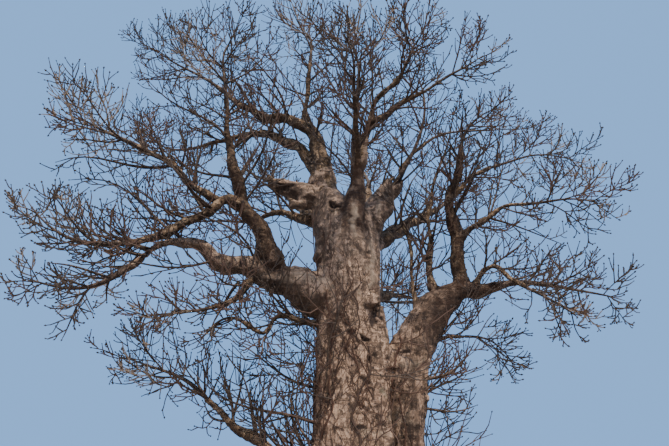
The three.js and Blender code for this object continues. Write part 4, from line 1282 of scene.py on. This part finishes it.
class BAOBAB_PG_colours(bpy.types.PropertyGroup):
    # The pale colours also paint a highlight on the bark that faces up, and the underside colours paint shade
    # on the bark that faces down
    trunk_pale: tone("Trunk Pale", "Pale patches and upper sides of the trunk's bark", 0.5, 0.33, 0.225)
    trunk_middle: tone("Trunk Middle", "Ground colour of the trunk's bark", 0.29, 0.18, 0.12)
    trunk_dark: tone("Trunk Dark", "Mottling and cracks of the trunk's bark", 0.055, 0.034, 0.023)
    trunk_underside: tone("Trunk Underside", "Bark of the trunk that faces down", 0.05, 0.028, 0.018)
    trunk_aged: tone("Trunk Aged", "Bark high up the trunk", 0.27, 0.2, 0.15)
    bough_pale: tone("Bough Pale", "Pale patches and upper sides of the boughs", 0.38, 0.255, 0.155)
    bough_middle: tone("Bough Middle", "Ground colour of the boughs' bark", 0.085, 0.041, 0.02)
    bough_dark: tone("Bough Dark", "Mottling and cracks of the boughs' bark", 0.022, 0.011, 0.005)
    bough_underside: tone("Bough Underside", "Bark of the boughs that faces down", 0.018, 0.008, 0.004)
    bough_aged: tone("Bough Aged", "Bark of the boughs high up", 0.09, 0.05, 0.024)
    shoot_pale: tone("Shoot Pale", "Pale patches and upper sides of the thick twigs", 0.22, 0.155, 0.115)
    shoot_middle: tone("Shoot Middle", "Ground colour of the thick twigs", 0.08, 0.047, 0.032)
    shoot_dark: tone("Shoot Dark", "Mottling and cracks of the thick twigs", 0.03, 0.018, 0.013)
    shoot_underside: tone("Shoot Underside", "Bark of the thick twigs that faces down", 0.024, 0.013, 0.009)
    shoot_aged: tone("Shoot Aged", "Bark of the thick twigs high up", 0.07, 0.046, 0.033)
    # Over the right arm and the centre bough this colour is painted shade
    ruddy_bark: tone("Ruddy Bark", "Dark reddish bark of the risers and the right arm", 0.034, 0.016, 0.009)
    bare_wood: tone("Bare Wood", "Wood where the bark has come off", 0.42, 0.32, 0.23)
    # This colour also paints shade into the fold between the stems, over broad dark zones of the stems and
    # under the broken stub
    scar: tone("Scar", "Knots, hollows and scars in the bark", 0.022, 0.012, 0.008)
    lichen: tone("Lichen", "Lichen on the bark", 0.3, 0.28, 0.19)
    brown_twig: tone("Brown Twig", "Bark of half the sprays of twigs", 0.05, 0.036, 0.028)
    reddish_twig: tone("Reddish Twig", "Bark of a quarter of the sprays", 0.068, 0.04, 0.029)
    grey_twig: tone("Grey Twig", "Bark of the other sprays", 0.17, 0.13, 0.1)
    creeper: tone("Creeper", "Bark of every second creeper", 0.042, 0.025, 0.018)
    reddish_creeper: tone("Reddish Creeper", "Bark of the other creepers", 0.06, 0.03, 0.02)
    bud: tone("Bud", "Scales of the buds", 0.035, 0.024, 0.018)
    floor: tone("Floor", "Paint of the floor", 0.66, 0.6, 0.52)


def sizes():
    return bpy.context.scene.baobab_sizes


# The broken boughs, each with the seed and the number of its splinters
BROKEN_ENDS = {"broken_stub": (41, 9), "right_leader": (42, 11)}
# Short dead snags and burls on the stems: place, direction, radius and length
SNAGS = [
    ((0.05, -0.68, 6.3), (0.75, -0.6, -0.1), 0.2, 0.34),
    ((0.2, -0.52, 5.85), (0.8, -0.45, -0.3), 0.16, 0.3),
    ((-1.3, -0.35, 7.8), (-0.9, -0.3, 0.3), 0.24, 0.3),
    ((-0.62, -0.6, 9.2), (0.15, -0.85, 0.15), 0.2, 0.36),
    ((-1.95, -0.25, 9.75), (-0.75, -0.45, -0.3), 0.15, 0.55),
    ((1.55, -0.2, 3.5), (0.8, -0.4, 0.3), 0.13, 0.24),
    ((1.5, -0.3, 3.85), (0.7, -0.6, -0.2), 0.15, 0.14),
]
# Marks on the stems: stem, height, azimuth in degrees with -90 at the viewer, half width, half height, how
# far the rim stands out, how deep the middle is, and how dark it is, or how bare where that is below 0
MARKS = [
    (0, 5.27, -90, 0.14, 0.1, 0.04, 0.07, 0.95),
    (0, 5.12, -68, 0.17, 0.1, 0.05, 0.09, 0.95),
    (0, 5.83, -108, 0.2, 0.07, 0.04, 0.05, 0.85),
    (0, 6.1, -38, 0.15, 0.36, 0.06, 0.12, 0.9),
    (0, 7.8, -78, 0.2, 0.24, 0.0, 0.01, 0.7),
    # These two darken the trunk's upper left flank: painted shade
    (0, 8.9, -150, 0.3, 0.9, 0.0, 0.0, 0.6),
    (0, 8.1, -160, 0.3, 0.6, 0.0, 0.0, 0.55),
    (0, 4.2, -125, 0.16, 0.06, 0.03, 0.03, 0.8),
    (0, 3.4, -98, 0.22, 0.04, 0.03, 0.02, 0.5),
    (0, 3.9, -72, 0.12, 0.16, 0.05, 0.05, 0.6),
    (0, 2.7, -80, 0.14, 0.07, 0.03, 0.04, 0.7),
    (0, 3.2, -48, 0.09, 0.2, 0.03, 0.03, 0.6),
    (0, 4.5, -60, 0.1, 0.13, 0.04, 0.04, 0.6),
    (0, 8.9, -72, 0.1, 0.5, 0.0, -0.01, -0.7),
    (0, 9.42, -97, 0.17, 0.2, 0.07, 0.16, 1.0),
    (0, 7.3, -45, 0.14, 0.9, 0.0, -0.01, -0.55),
    (0, 2.6, -70, 0.3, 0.12, 0.0, 0.0, -0.4),
    (1, 3.45, -92, 0.26, 0.3, 0.0, 0.01, 0.6),
    (1, 3.0, -60, 0.08, 0.5, 0.0, 0.01, 0.5),
    (1, 2.48, -100, 0.12, 0.05, 0.03, 0.05, 0.95),
    (1, 3.0, -105, 0.25, 0.25, 0.0, 0.0, -0.45),
    (1, 4.42, -82, 0.3, 0.16, 0.05, -0.05, -0.35),
    (1, 4.78, -95, 0.22, 0.07, 0.05, 0.05, 0.8),
    (1, 4.0, -140, 0.1, 0.8, 0.03, 0.0, 0.5),
    (1, 5.4, -110, 0.12, 0.2, 0.03, 0.04, 0.6),
    # These two darken the upper second stem below the right arm: painted shade
    (1, 5.7, -80, 0.55, 0.75, 0.0, 0.0, 0.6),
    (1, 5.0, -95, 0.5, 0.45, 0.0, 0.0, 0.55),
    (1, 4.1, -80, 0.16, 0.5, 0.0, 0.0, 0.6),
    (1, 3.75, -110, 0.14, 0.55, 0.03, 0.0, 0.5),
    # These two darken the trunk beside the fold with the second stem: painted shade
    (0, 2.6, -22, 0.25, 1.1, 0.0, 0.0, 0.95),
    (0, 3.9, -20, 0.2, 0.7, 0.0, 0.0, 0.9),
]
# The same for limbs, by a point on the axis and the direction that the mark is seen in
LIMB_MARKS = [
    # The first three darken the underside of the broken stub round a hollow in its wood: painted shade
    # beneath the stub
    ((-2.7, -0.15, 10.42), (0.3, 0.9, 0.5), (0.34, 0.2, 0.03, 0.13, 0.95)),
    ((-2.2, -0.1, 10.25), (0.1, 0.7, 0.75), (0.32, 0.22, 0.0, 0.03, 0.5)),
    ((-1.7, -0.05, 10.05), (0.1, 0.9, 0.5), (0.22, 0.12, 0.03, 0.05, 0.5)),
    ((0.75, 0.25, 10.2), (0.0, 1.0, 0.1), (0.2, 0.3, 0.02, 0.05, 0.7)),
    ((0.4, 0.15, 9.6), (-0.2, 1.0, 0.0), (0.08, 0.35, 0.0, -0.01, -0.6)),
    ((-2.9, -0.7, 7.0), (0.1, 0.7, 0.7), (0.45, 0.15, 0.0, 0.02, 0.6)),
    ((-1.9, -0.3, 6.85), (0.1, 0.9, -0.3), (0.6, 0.22, 0.0, -0.02, -0.4)),
    ((-2.3, -0.4, 6.95), (0.1, 0.9, 0.0), (0.7, 0.12, 0.02, 0.0, -0.3)),
    ((2.9, -0.1, 6.7), (0.0, 0.8, 0.6), (0.4, 0.14, 0.0, 0.0, 0.5)),
]
CHANCE_MARKS = 60  # further small knots and scars, all round both stems
# Ribs and folds that run up the stems: radius and points
RIBS = [
    (0.3, [(0.5, -0.55, -0.2), (0.42, -0.6, 1.6), (0.36, -0.58, 3.4), (0.4, -0.42, 4.9), (0.25, -0.4, 6.2)]),
    (0.22, [(0.62, -0.1, 2.0), (0.68, -0.12, 3.6), (0.72, -0.12, 4.5), (0.95, -0.15, 5.1)]),
    (0.3, [(-1.3, -0.35, -0.2), (-1.15, -0.45, 1.8), (-1.1, -0.4, 3.6), (-1.15, -0.3, 5.2)]),
    (0.26, [(-0.75, 0.75, -0.2), (-0.7, 0.75, 2.5), (-0.8, 0.7, 5.0)]),
    (0.24, [(0.1, 0.72, -0.2), (0.05, 0.72, 3.0), (-0.1, 0.65, 6.2)]),
]


# How far from a stem's skin, a limb's axis and a broken end the search for the bark starts
STEM_CAST, LIMB_CAST, END_CAST = 0.6, 1.5, 1.2
END_HOLLOW = 0.75  # how wide the hollow in a broken end is against the bough
END_HOLLOW_DEPTH = 0.16


def chance_mark(number):
    """One of the small knots and scars that are spread by chance."""
    draw = [chance(seed_of(MARK_SEED, number), salt) for salt in range(6)]
    stem = int(draw[0] < 0.3)
    small = 0.05 + 0.09 * draw[3]
    return (stem, 0.5 + (8.2, 4.8)[stem] * draw[1], 360 * draw[2], small, small * (0.35 + 0.8 * draw[4]),
            0.03, 0.03, 0.35 + 0.5 * draw[5])


def all_marks():
    """The stems' marks as points to cast from, casting direction and the five sizes."""
    found = []
    for stem, height, azimuth, *shape in [*MARKS, *map(chance_mark, range(CHANCE_MARKS))]:
        middle, radius = stem_at((TRUNK, SECOND_STEM)[stem], height)
        way = level_way(np.radians(azimuth))
        found.append((np.array([middle, 0, height]) + way * (radius + STEM_CAST), -way, shape))
    for place_on_limb, way, shape in LIMB_MARKS:
        way = unit(np.array(way))
        found.append((np.array(place_on_limb) - LIMB_CAST * way, way, shape))
    for name in BROKEN_ENDS:
        centres, radii = fine_boughs()[name]
        way = unit(centres[-1] - centres[-3])
        wide = END_HOLLOW * radii[-1]
        found.append((centres[-1] + way * END_CAST, -way, (wide, wide, 0.0, END_HOLLOW_DEPTH, 1.0)))
    return found


# The fold where the two stems have grown together is pressed in, and below its top darkened with painted
# shade
CREVICE_DEPTH = 0.12
CREVICE_WIDTH = 0.2
CREVICE_TOP = 4.6
CREVICE_FADE = 0.6
CREVICE_PAINTED_SHADE = 0.95
# How much the right arm is darkened with painted shade, and the left arm with a slight reddish tone, and
# where that starts
RIGHT_ARM_PAINTED_SHADE = 1.0
LEFT_ARM_SHADE = 0.15
RIGHT_ARM_FROM = 1.3
RIGHT_ARM_ABOVE = 4.6
LEFT_ARM_FROM = -1.6
ARM_FADE = 0.8
ARM_RISE = 0.9
# How reddish some boughs' bark is, in their own skins and in the stems'. On the centre bough in the stems'
# skin this is painted shade.
RUDDY_BOUGHS = {"left_riser": 0.7, "right_riser": 0.7}
RUDDY_AND_SHADED_FEET = {"left_riser": 0.7, "centre": 0.9}
OWN_BARK, OWN_BARK_FADE = 1.5, 0.3  # how far a bough's own bark reaches from its axis, against its radius


def crevice(points):
    """How deep each point lies in the fold where the two stems have grown together."""
    x, y, z = points.T
    outside = 0
    for stations in (TRUNK, SECOND_STEM):
        middle, radius = stem_at(stations, z)
        outside = outside + np.abs(np.hypot(x - middle, y) - radius)
    return np.exp(-((outside / CREVICE_WIDTH) ** 2)) * risen(z, CREVICE_TOP, -CREVICE_FADE)


def bark_of(name, points):
    """1 for the points on one bough's own bark, and 0 beyond its foot."""
    away = [np.linalg.norm(points - centre, axis=1) / radius for centre, radius in zip(*fine_boughs()[name])]
    return risen(np.min(away, axis=0), OWN_BARK, -OWN_BARK_FADE)


def ruddy_at(points, shades):
    """How reddish each point is, by the shades of the boughs whose bark it is on."""
    ruddy = np.zeros(len(points))
    for name, shade in shades.items():
        ruddy = np.maximum(ruddy, shade * bark_of(name, points))
    return ruddy


def vectors_of(mesh, field):
    """The places or the normals of a mesh's points, in rows."""
    values = np.empty(3 * len(mesh.vertices))
    mesh.vertices.foreach_get(field, values)
    return values.reshape(-1, 3)


MARK_EDGE = ((0.35, 9), (0.2, 23))  # how a mark strays sideways on its way up: share of its width, pace
MARK_LOBES = ((0.2, 3), (0.14, 5), (0.1, 9))  # how its outline swells round about: share, number of lobes
# In half widths of a mark: where its rim is highest, how wide the rim and the hollow are, and where its shade
# ends, with how sharply it does
RIM_AT, RIM_WIDTH, HOLLOW_WIDTH, SHADE_EDGE, SHADE_FALL = 1.15, 0.35, 0.8, 0.95, 7


def mark_at(points, normals, hit, facing, wide, tall):
    """Which points a mark reaches, how far out in it they lie, with its rim at 1, and their turn round it."""
    level, upright = square_to(facing[None])
    offset = points - hit
    along = offset @ upright[0]
    sideways = offset @ level[0] + wide * waves(along, 7 * hit, *MARK_EDGE)
    around = np.arctan2(along, sideways)
    away = np.hypot(sideways / wide, along / tall) * waves(around, 7 * hit, *MARK_LOBES, middle=1)
    near = (away < 3) & (np.abs(offset @ facing) < 2 * max(wide, tall) + 0.1) & (normals @ facing > 0.1)
    return near, away[near], around[near]


def put_marks(piece):
    """Presses knots, hollows and scars into the bark, and keeps where they are for its colours, together with
    painted shade: broad dark zones, the fold between the stems, the right arm and the centre bough.
    """
    mesh = piece.data
    surface = BVHTree.FromObject(piece, bpy.context.evaluated_depsgraph_get())
    points, normals = vectors_of(mesh, "co"), vectors_of(mesh, "normal")
    moved = points.copy()
    scar, bare = np.zeros(len(points)), np.zeros(len(points))
    for start, way, (wide, tall, rim, hollow, shade) in all_marks():
        hit, normal, _, _ = surface.ray_cast(Vector(start), Vector(way))
        if hit is None:
            continue
        hit, facing = np.array(hit), unit(0.5 * np.array(normal) - 0.5 * way)
        near, away, around = mark_at(points, normals, hit, facing, wide, tall)
        lip = rim * (0.55 + 0.45 * np.sin(around + 7 * hit[2]))
        raised = lip * np.exp(-((away - RIM_AT) / RIM_WIDTH) ** 2)
        push = raised - hollow * np.exp(-(away / HOLLOW_WIDTH) ** 4)
        moved[near] += push[:, None] * facing
        shown = abs(shade) / (1 + np.exp(SHADE_FALL * (away - SHADE_EDGE)))
        marked = scar if shade > 0 else bare
        marked[near] = np.maximum(marked[near], shown)
    fold = crevice(points)
    moved -= normals * (CREVICE_DEPTH * fold)[:, None]
    moved[:, 2] = np.maximum(moved[:, 2], 0)
    mesh.vertices.foreach_set("co", moved.ravel())
    x, _, z = points.T
    # The right arm's darkening is painted shade
    right = risen(x, RIGHT_ARM_FROM, ARM_FADE) * risen(z, RIGHT_ARM_ABOVE, ARM_RISE)
    arms = RIGHT_ARM_PAINTED_SHADE * right + LEFT_ARM_SHADE * risen(x, LEFT_ARM_FROM, -ARM_FADE)
    # The fold's darkening is painted shade, kept with the scars
    keep(mesh, "scar", np.maximum(scar, CREVICE_PAINTED_SHADE * fold))
    keep(mesh, "bare", bare)
    keep(mesh, "ruddy", np.maximum(arms, ruddy_at(points, RUDDY_AND_SHADED_FEET)))
    mesh.update()


class BAOBAB_OT_stems(bpy.types.Operator):
    """Make the bark of the trunk, the second stem and the limbs that grow from them in one skin"""
    bl_idname = "baobab.stems"
    bl_label = "Trunk and Stems"

    def execute(self, context):
        boughs = fine_boughs()
        lines = [boughs[name] for name in BOLE_BOUGHS] + feet_on_bole()
        for name, (seed, count) in BROKEN_ENDS.items():
            lines += ragged_end(*boughs[name], seed, count)
        for foot, way, radius, length in SNAGS:
            line = np.array(foot) + unit(np.array(way)) * np.linspace(0, length, len(SNAG_TAPER))[:, None]
            lines.append((line, radius * SNAG_TAPER))
        for radius, points in RIBS:
            line = curve_through(points, 8)
            lines.append((line, np.full(len(line), radius)))
        piece = with_skin("trunk_and_stems", lines, BOLE_SIDES)
        add_mesh(piece, stem_mesh("trunk_tube", TRUNK))
        add_mesh(piece, stem_mesh("second_stem_tube", SECOND_STEM))
        bark_skin(
            piece, "trunk", sizes().stem_voxel, smoothing=7, swelling_size=0.75,
            swelling_depth=sizes().swelling, fold_size=0.3, fold_depth=sizes().fold,
            wrinkle_size=0.3, wrinkle_depth=sizes().wrinkle)
        cut_at_ground(piece)
        put_marks(piece)
        place(piece, ["trunk", "second_stem", *BOLE_BOUGHS])
        return {"FINISHED"}


class BAOBAB_OT_slivers(bpy.types.Operator):
    """Make the torn strips of wood round the broken ends"""
    bl_idname = "baobab.slivers"
    bl_label = "Torn Wood"

    def execute(self, context):
        lines = [line for seed, name in enumerate(BROKEN_ENDS, SLIVER_SEED)
                 for line in slivers(*fine_boughs()[name], seed)]
        place(with_skin("torn_wood", lines, SLIVER_SIDES, bark_of_kind("bough")))
        return {"FINISHED"}


class BAOBAB_OT_boughs(bpy.types.Operator):
    """Make the bark of the boughs, in four groups"""
    bl_idname = "baobab.boughs"
    bl_label = "Boughs"

    def execute(self, context):
        boughs = fine_boughs()
        for group, names in BOUGH_GROUPS.items():
            piece = with_skin(group, [boughs[name] for name in names], BOUGH_SIDES)
            bark_skin(
                piece, "bough", sizes().bough_voxel, smoothing=4, swelling_size=0.35, swelling_depth=0.045,
                fold_size=0.2, fold_depth=0.02, wrinkle_size=0.13, wrinkle_depth=0.024)
            shades = {name: shade for name, shade in RUDDY_BOUGHS.items() if name in names}
            keep(piece.data, "ruddy", ruddy_at(vectors_of(piece.data, "co"), shades))
            place(piece, names)
        return {"FINISHED"}


TWIG_REGIONS = {
    "left": ["left_arm", "left_riser", "left_shoulder", "left_high", "left_hanging", "crooked", "low_left",
             "under_left"],
    "top": ["top_left", "outer_left", "top_centre", "centre", "centre_fork", "centre_right", "front_top",
            "right_leader"],
    "right": ["leader_shoot", "right_arm", "right_riser", "right_outer", "right_middle", "right_low",
              "right_inner", "stem_shoot"],
    "back": ["back_left", "back_centre", "back_right", "back_low"],
}
BACK_BEHIND, TOP_ABOVE, LEFT_OF = 1.4, 10.4, 0.4  # where the regions of the loose shoots begin
THICK_FOOT = 0.3  # a mass's stem swells out to its bough's tip, unless that is thicker than this


def region_rows(shoots, number):
    """The shoots of one region: a mass's by its bough's name, the others' by where they are rooted."""
    names = list(TWIG_REGIONS.values())
    home = np.array([next(at for at, some in enumerate(names) if limb.name in some) for limb in MASS_LIMBS])
    x, y, z = shoots.root.T
    loose = np.where(y > BACK_BEHIND, 3, np.where(z > TOP_ABOVE, 1, np.where(x < LEFT_OF, 0, 2)))
    return np.flatnonzero(np.where(shoots.mass >= 0, home[shoots.mass], loose) == number)


def tints_of(shoots):
    """Half the sprays are brown, and the others reddish or, out in the masses, grey."""
    tints = np.maximum((chance(shoots.spray, 11) * 4).astype(int) - 1, 0)
    return np.where(shoots.mass < 0, np.minimum(tints, 1), tints)


class BAOBAB_OT_stem_twigs(bpy.types.Operator):
    """Make the thick twigs: each mass's stem and its first side shoots"""
    bl_idname = "baobab.stem_twigs"
    bl_label = "Thick Twigs"

    def execute(self, context):
        stems, first, _, _ = crown()
        feet = np.array([limb.radii[-1] for limb in MASS_LIMBS])
        feet = np.where(feet > THICK_FOOT, stems.radius, feet)
        for name, shoots, foot, sides in (("mass_stems", stems, feet, 10), ("first_shoots", first, None, 6)):
            place(tubes(name, [shoot_lines(shoots, foot)], sides, material=bark_of_kind("shoot")))
        return {"FINISHED"}


class BAOBAB_OT_twigs(bpy.types.Operator):
    """Make the fine twigs of each side of the crown, which stand for the twig masses"""
    bl_idname = "baobab.twigs"
    bl_label = "Fine Twigs"

    def execute(self, context):
        _, _, second, third = crown()
        tints = dict(zip(MATERIAL_INPUTS, twig_tints()))
        for number, (region, names) in enumerate(TWIG_REGIONS.items()):
            nodes = [name + "_twigs" for name in names]
            for kind, shoots, replaced in (("twigs", second, nodes), ("end_twigs", third, [])):
                some = shoots.pick(region_rows(shoots, number))
                sides = ORDERS[shoots.order]["sides"]
                piece = tubes(f"{region}_{kind}", [shoot_lines(some)], sides, [tints_of(some)], **tints)
                place(piece, replaced)
        return {"FINISHED"}


class BAOBAB_OT_buds(bpy.types.Operator):
    """Make the bud knobs at the ends of the twigs"""
    bl_idname = "baobab.buds"
    bl_label = "Buds"

    def execute(self, context):
        for number, region in enumerate(TWIG_REGIONS):
            ends = [shoots.pick(region_rows(shoots, number)) for shoots in crown()[1:]]
            mesh = points_mesh(region + "_buds", np.vstack([some.point(1.0) for some in ends]))
            keep(mesh, "size", np.concatenate([0.75 + 0.6 * chance(some.seed, 12) for some in ends]))
            keep(mesh, "heading", np.vstack([some.growth(1.0) for some in ends]), "FLOAT_VECTOR")
            piece = add_object(region + "_buds", mesh)
            scales = material_named("bud scales", twig_material, colour_of("bud"), 0.7)
            add_tree(piece, tree_named("Bud knobs", bud_tree), radius=sizes().bud_radius, material=scales)
            place(make_plain(piece))
        return {"FINISHED"}


# Creepers: thin shoots that wander over the bark of the stems
CREEPERS = 70
CREEPER_POINTS = 26
CREEPER_SPURS = 5
# The thickest of them: stem, first height and azimuth, last height and azimuth, radius
ROPES = [
    (0, (1.2, -82), (4.75, -62), 0.035), (0, (2.4, -140), (6.6, -118), 0.022),
    (0, (3.4, -58), (5.9, -75), 0.016), (1, (3.2, -150), (5.2, -150), 0.04),
    (0, (5.0, -78), (7.4, -100), 0.014), (1, (1.6, -60), (3.9, -100), 0.02),
    (0, (1.5, 110), (6.0, 80), 0.03), (0, (2.6, 60), (5.0, 20), 0.02), (0, (1.4, 150), (5.4, 170), 0.028),
]
CREEPER_WANDER = ((1, 5), (0.6, 11), (0.3, 23))  # how a creeper strays round the stem: height and pace
CREEPER_TURN = 9  # the degrees that it strays by
CREEPER_CAST = 0.45  # how far outside the stem's radius the search for the bark starts
CREEPER_LIFT = 0.004
SPUR_POINTS = 5


def creeper_line(surface, stem, start, end, seed, lift):
    """A line on the bark that wanders from one height and azimuth to another."""
    share = np.linspace(0, 1, CREEPER_POINTS)
    phases = [2 * np.pi * chance(seed, salt) for salt in (21, 22, 23)]
    wander = waves(share, phases, *CREEPER_WANDER)
    turn = np.radians(start[1] + (end[1] - start[1]) * share + CREEPER_TURN * (wander - wander[0]))
    bob = 0.08 * (np.sin(9 * share + phases[1]) - np.sin(phases[1]))
    height = start[0] + (end[0] - start[0]) * share + bob
    middles, radii = stem_at((TRUNK, SECOND_STEM)[stem], height)
    points = []
    for at, middle, radius, way in zip(height, middles, radii, level_way(turn)):
        outside = np.array([middle, 0, at]) + way * (radius + CREEPER_CAST)
        hit, normal, _, _ = surface.ray_cast(Vector(outside), Vector(-way))
        points.append(np.array(hit) + np.array(normal) * lift if hit else outside - way * 0.4)
    return np.array(points)


def creeper_spur(line, number, spur):
    """A short side shoot that leaves a creeper and stands out from the bark."""
    seed = seed_of(seed_of(SPUR_SEED, number), spur)
    at = 2 + int(chance(seed, 1) * (CREEPER_POINTS - 5))
    foot, heading = line[at], unit(line[at + 1] - line[at - 1])
    outward = unit(np.array([foot[0] + 0.47 if foot[0] < 0.7 else foot[0] - 1.2, foot[1], 0.3]))
    aside = np.cross(heading, outward) * (1 if spur % 2 else -1)
    length = 0.25 + 0.5 * chance(seed, 2)
    share = np.linspace(0, 1, SPUR_POINTS)[:, None]
    way = unit(heading * 0.5 + aside * 0.7 + outward * (0.25 + 0.5 * chance(seed, 3)))
    return foot + way * share * length + UP * 0.25 * length * share**2


def creeper_lines(surface):
    """The lines and thickness of the creepers and their side spurs."""
    lines, thick = [], []
    for number in range(CREEPERS):
        seed = seed_of(CREEPER_SEED, number)
        draw = [chance(seed, salt) for salt in range(8)]
        stem = int(draw[0] < 0.25)
        low = 0.4 + (5.0, 3.0)[stem] * draw[1]
        high = min(low + 1.2 + 2.6 * draw[2], (8.8, 5.2)[stem])
        turn = -180 + 140 * draw[3] if draw[4] < 0.55 else 360 * draw[3]
        ends = (low, turn), (high, turn + 90 * (draw[6] - 0.5))
        radius = 0.006 + 0.008 * draw[5] ** 3
        lines.append(creeper_line(surface, stem, *ends, seed, radius + CREEPER_LIFT))
        thick.append(radius * np.linspace(1.3, 0.55, CREEPER_POINTS))
    for stem, start, end, radius in ROPES:
        seed = seed_of(ROPE_SEED, int(100 * end[0]))
        lines.append(creeper_line(surface, stem, start, end, seed, 0.5 * radius))
        thick.append(radius * np.linspace(1.2, 0.7, CREEPER_POINTS))
    spurs = np.array([creeper_spur(line, number, spur) for number, line in enumerate(lines)
                      for spur in range(CREEPER_SPURS)])
    spur_thick = np.tile(np.linspace(0.0075, 0.0045, SPUR_POINTS), (len(spurs), 1))
    return (np.array(lines), np.array(thick)), (spurs, spur_thick)


class BAOBAB_OT_creepers(bpy.types.Operator):
    """Make the thin shoots that wander over the stems' bark"""
    bl_idname = "baobab.creepers"
    bl_label = "Creepers"

    def execute(self, context):
        stems = bpy.data.objects["trunk_and_stems"]
        surface = BVHTree.FromObject(stems, context.evaluated_depsgraph_get())
        sets = creeper_lines(surface)
        tints = [np.arange(len(line)) % 2 for line, _ in sets]
        barks = dict(zip(MATERIAL_INPUTS, creeper_barks()))
        place(tubes("creepers", sets, CREEPER_SIDES, tints, **barks))
        return {"FINISHED"}


# Stage

IMAGE_WIDTH = 669
FOCAL_PIXELS = 560.0
SENSOR = 36.0
EYE = (-0.95, -17.0, 1.6)
PITCH = math.radians(24)
FLOOR_RADIUS = 90.0
FLOOR_SIDES = 96
FURTHEST_SEEN = 500
WARM = (1.0, 0.91, 0.79)


SKY = (0.26, 0.52, 1.0)
SKY_STRENGTH = 1.05
# The lamps: name, strength, and the degrees that they are wide and turned by
LAMPS = [("key", 8.0, 3, (27, 0, 24)), ("fill", 0.6, 60, (62, 0, -35))]


class BAOBAB_OT_stage(bpy.types.Operator):
    """Make the floor, the soft light and the camera"""
    bl_idname = "baobab.stage"
    bl_label = "Stage"

    def execute(self, context):
        mesh = bmesh.new()
        bmesh.ops.create_circle(mesh, cap_ends=True, segments=FLOOR_SIDES, radius=FLOOR_RADIUS)
        data = bpy.data.meshes.new("floor")
        mesh.to_mesh(data)
        mesh.free()
        floor = add_object("floor", data)
        floor.data.materials.append(material_named("floor paint", twig_material, colour_of("floor"), 0.9))

        world = bpy.data.worlds.new("soft studio")
        world.use_nodes = True
        background = world.node_tree.nodes["Background"]
        background.inputs["Color"].default_value = (*SKY, 1)
        background.inputs["Strength"].default_value = SKY_STRENGTH
        context.scene.world = world

        for name, strength, width, turn in LAMPS:
            lamp = bpy.data.lights.new(name, "SUN")
            lamp.energy = strength
            lamp.angle = math.radians(width)
            lamp.color = WARM
            add_object(name, lamp).rotation_euler = [math.radians(part) for part in turn]

        lens = bpy.data.cameras.new("camera")
        lens.sensor_width = SENSOR
        lens.lens = FOCAL_PIXELS / IMAGE_WIDTH * SENSOR
        lens.clip_end = FURTHEST_SEEN
        camera = add_object("camera", lens)
        camera.location = EYE
        camera.rotation_euler = (math.pi / 2 + PITCH, 0, 0)
        context.scene.camera = camera
        return {"FINISHED"}


STEPS = (
    BAOBAB_OT_stage, BAOBAB_OT_stems, BAOBAB_OT_slivers, BAOBAB_OT_boughs, BAOBAB_OT_stem_twigs,
    BAOBAB_OT_twigs, BAOBAB_OT_buds, BAOBAB_OT_creepers,
)


class BAOBAB_PT_panel(bpy.types.Panel):
    """Lists the sizes, the colours and the steps"""
    bl_idname = "BAOBAB_PT_panel"
    bl_label = "Baobab"
    bl_space_type = "VIEW_3D"
    bl_region_type = "UI"
    bl_category = "Baobab"

    def draw(self, context):
        for values in (context.scene.baobab_sizes, context.scene.baobab_colours):
            for name in values.__annotations__:
                self.layout.prop(values, name)
        for step in STEPS:
            self.layout.operator(step.bl_idname)


CLASSES = (BAOBAB_PG_sizes, BAOBAB_PG_colours, *STEPS, BAOBAB_PT_panel)


def register():
    for each in CLASSES:
        bpy.utils.register_class(each)
    bpy.types.Scene.baobab_sizes = bpy.props.PointerProperty(type=BAOBAB_PG_sizes)
    bpy.types.Scene.baobab_colours = bpy.props.PointerProperty(type=BAOBAB_PG_colours)


def unregister():
    del bpy.types.Scene.baobab_colours
    del bpy.types.Scene.baobab_sizes
    for each in reversed(CLASSES):
        bpy.utils.unregister_class(each)


def main():
    register()
    bpy.ops.baobab.stage()
    bpy.ops.baobab.stems()
    bpy.ops.baobab.slivers()
    bpy.ops.baobab.boughs()
    bpy.ops.baobab.stem_twigs()
    bpy.ops.baobab.twigs()
    bpy.ops.baobab.buds()
    bpy.ops.baobab.creepers()


if __name__ == "__main__":
    main()
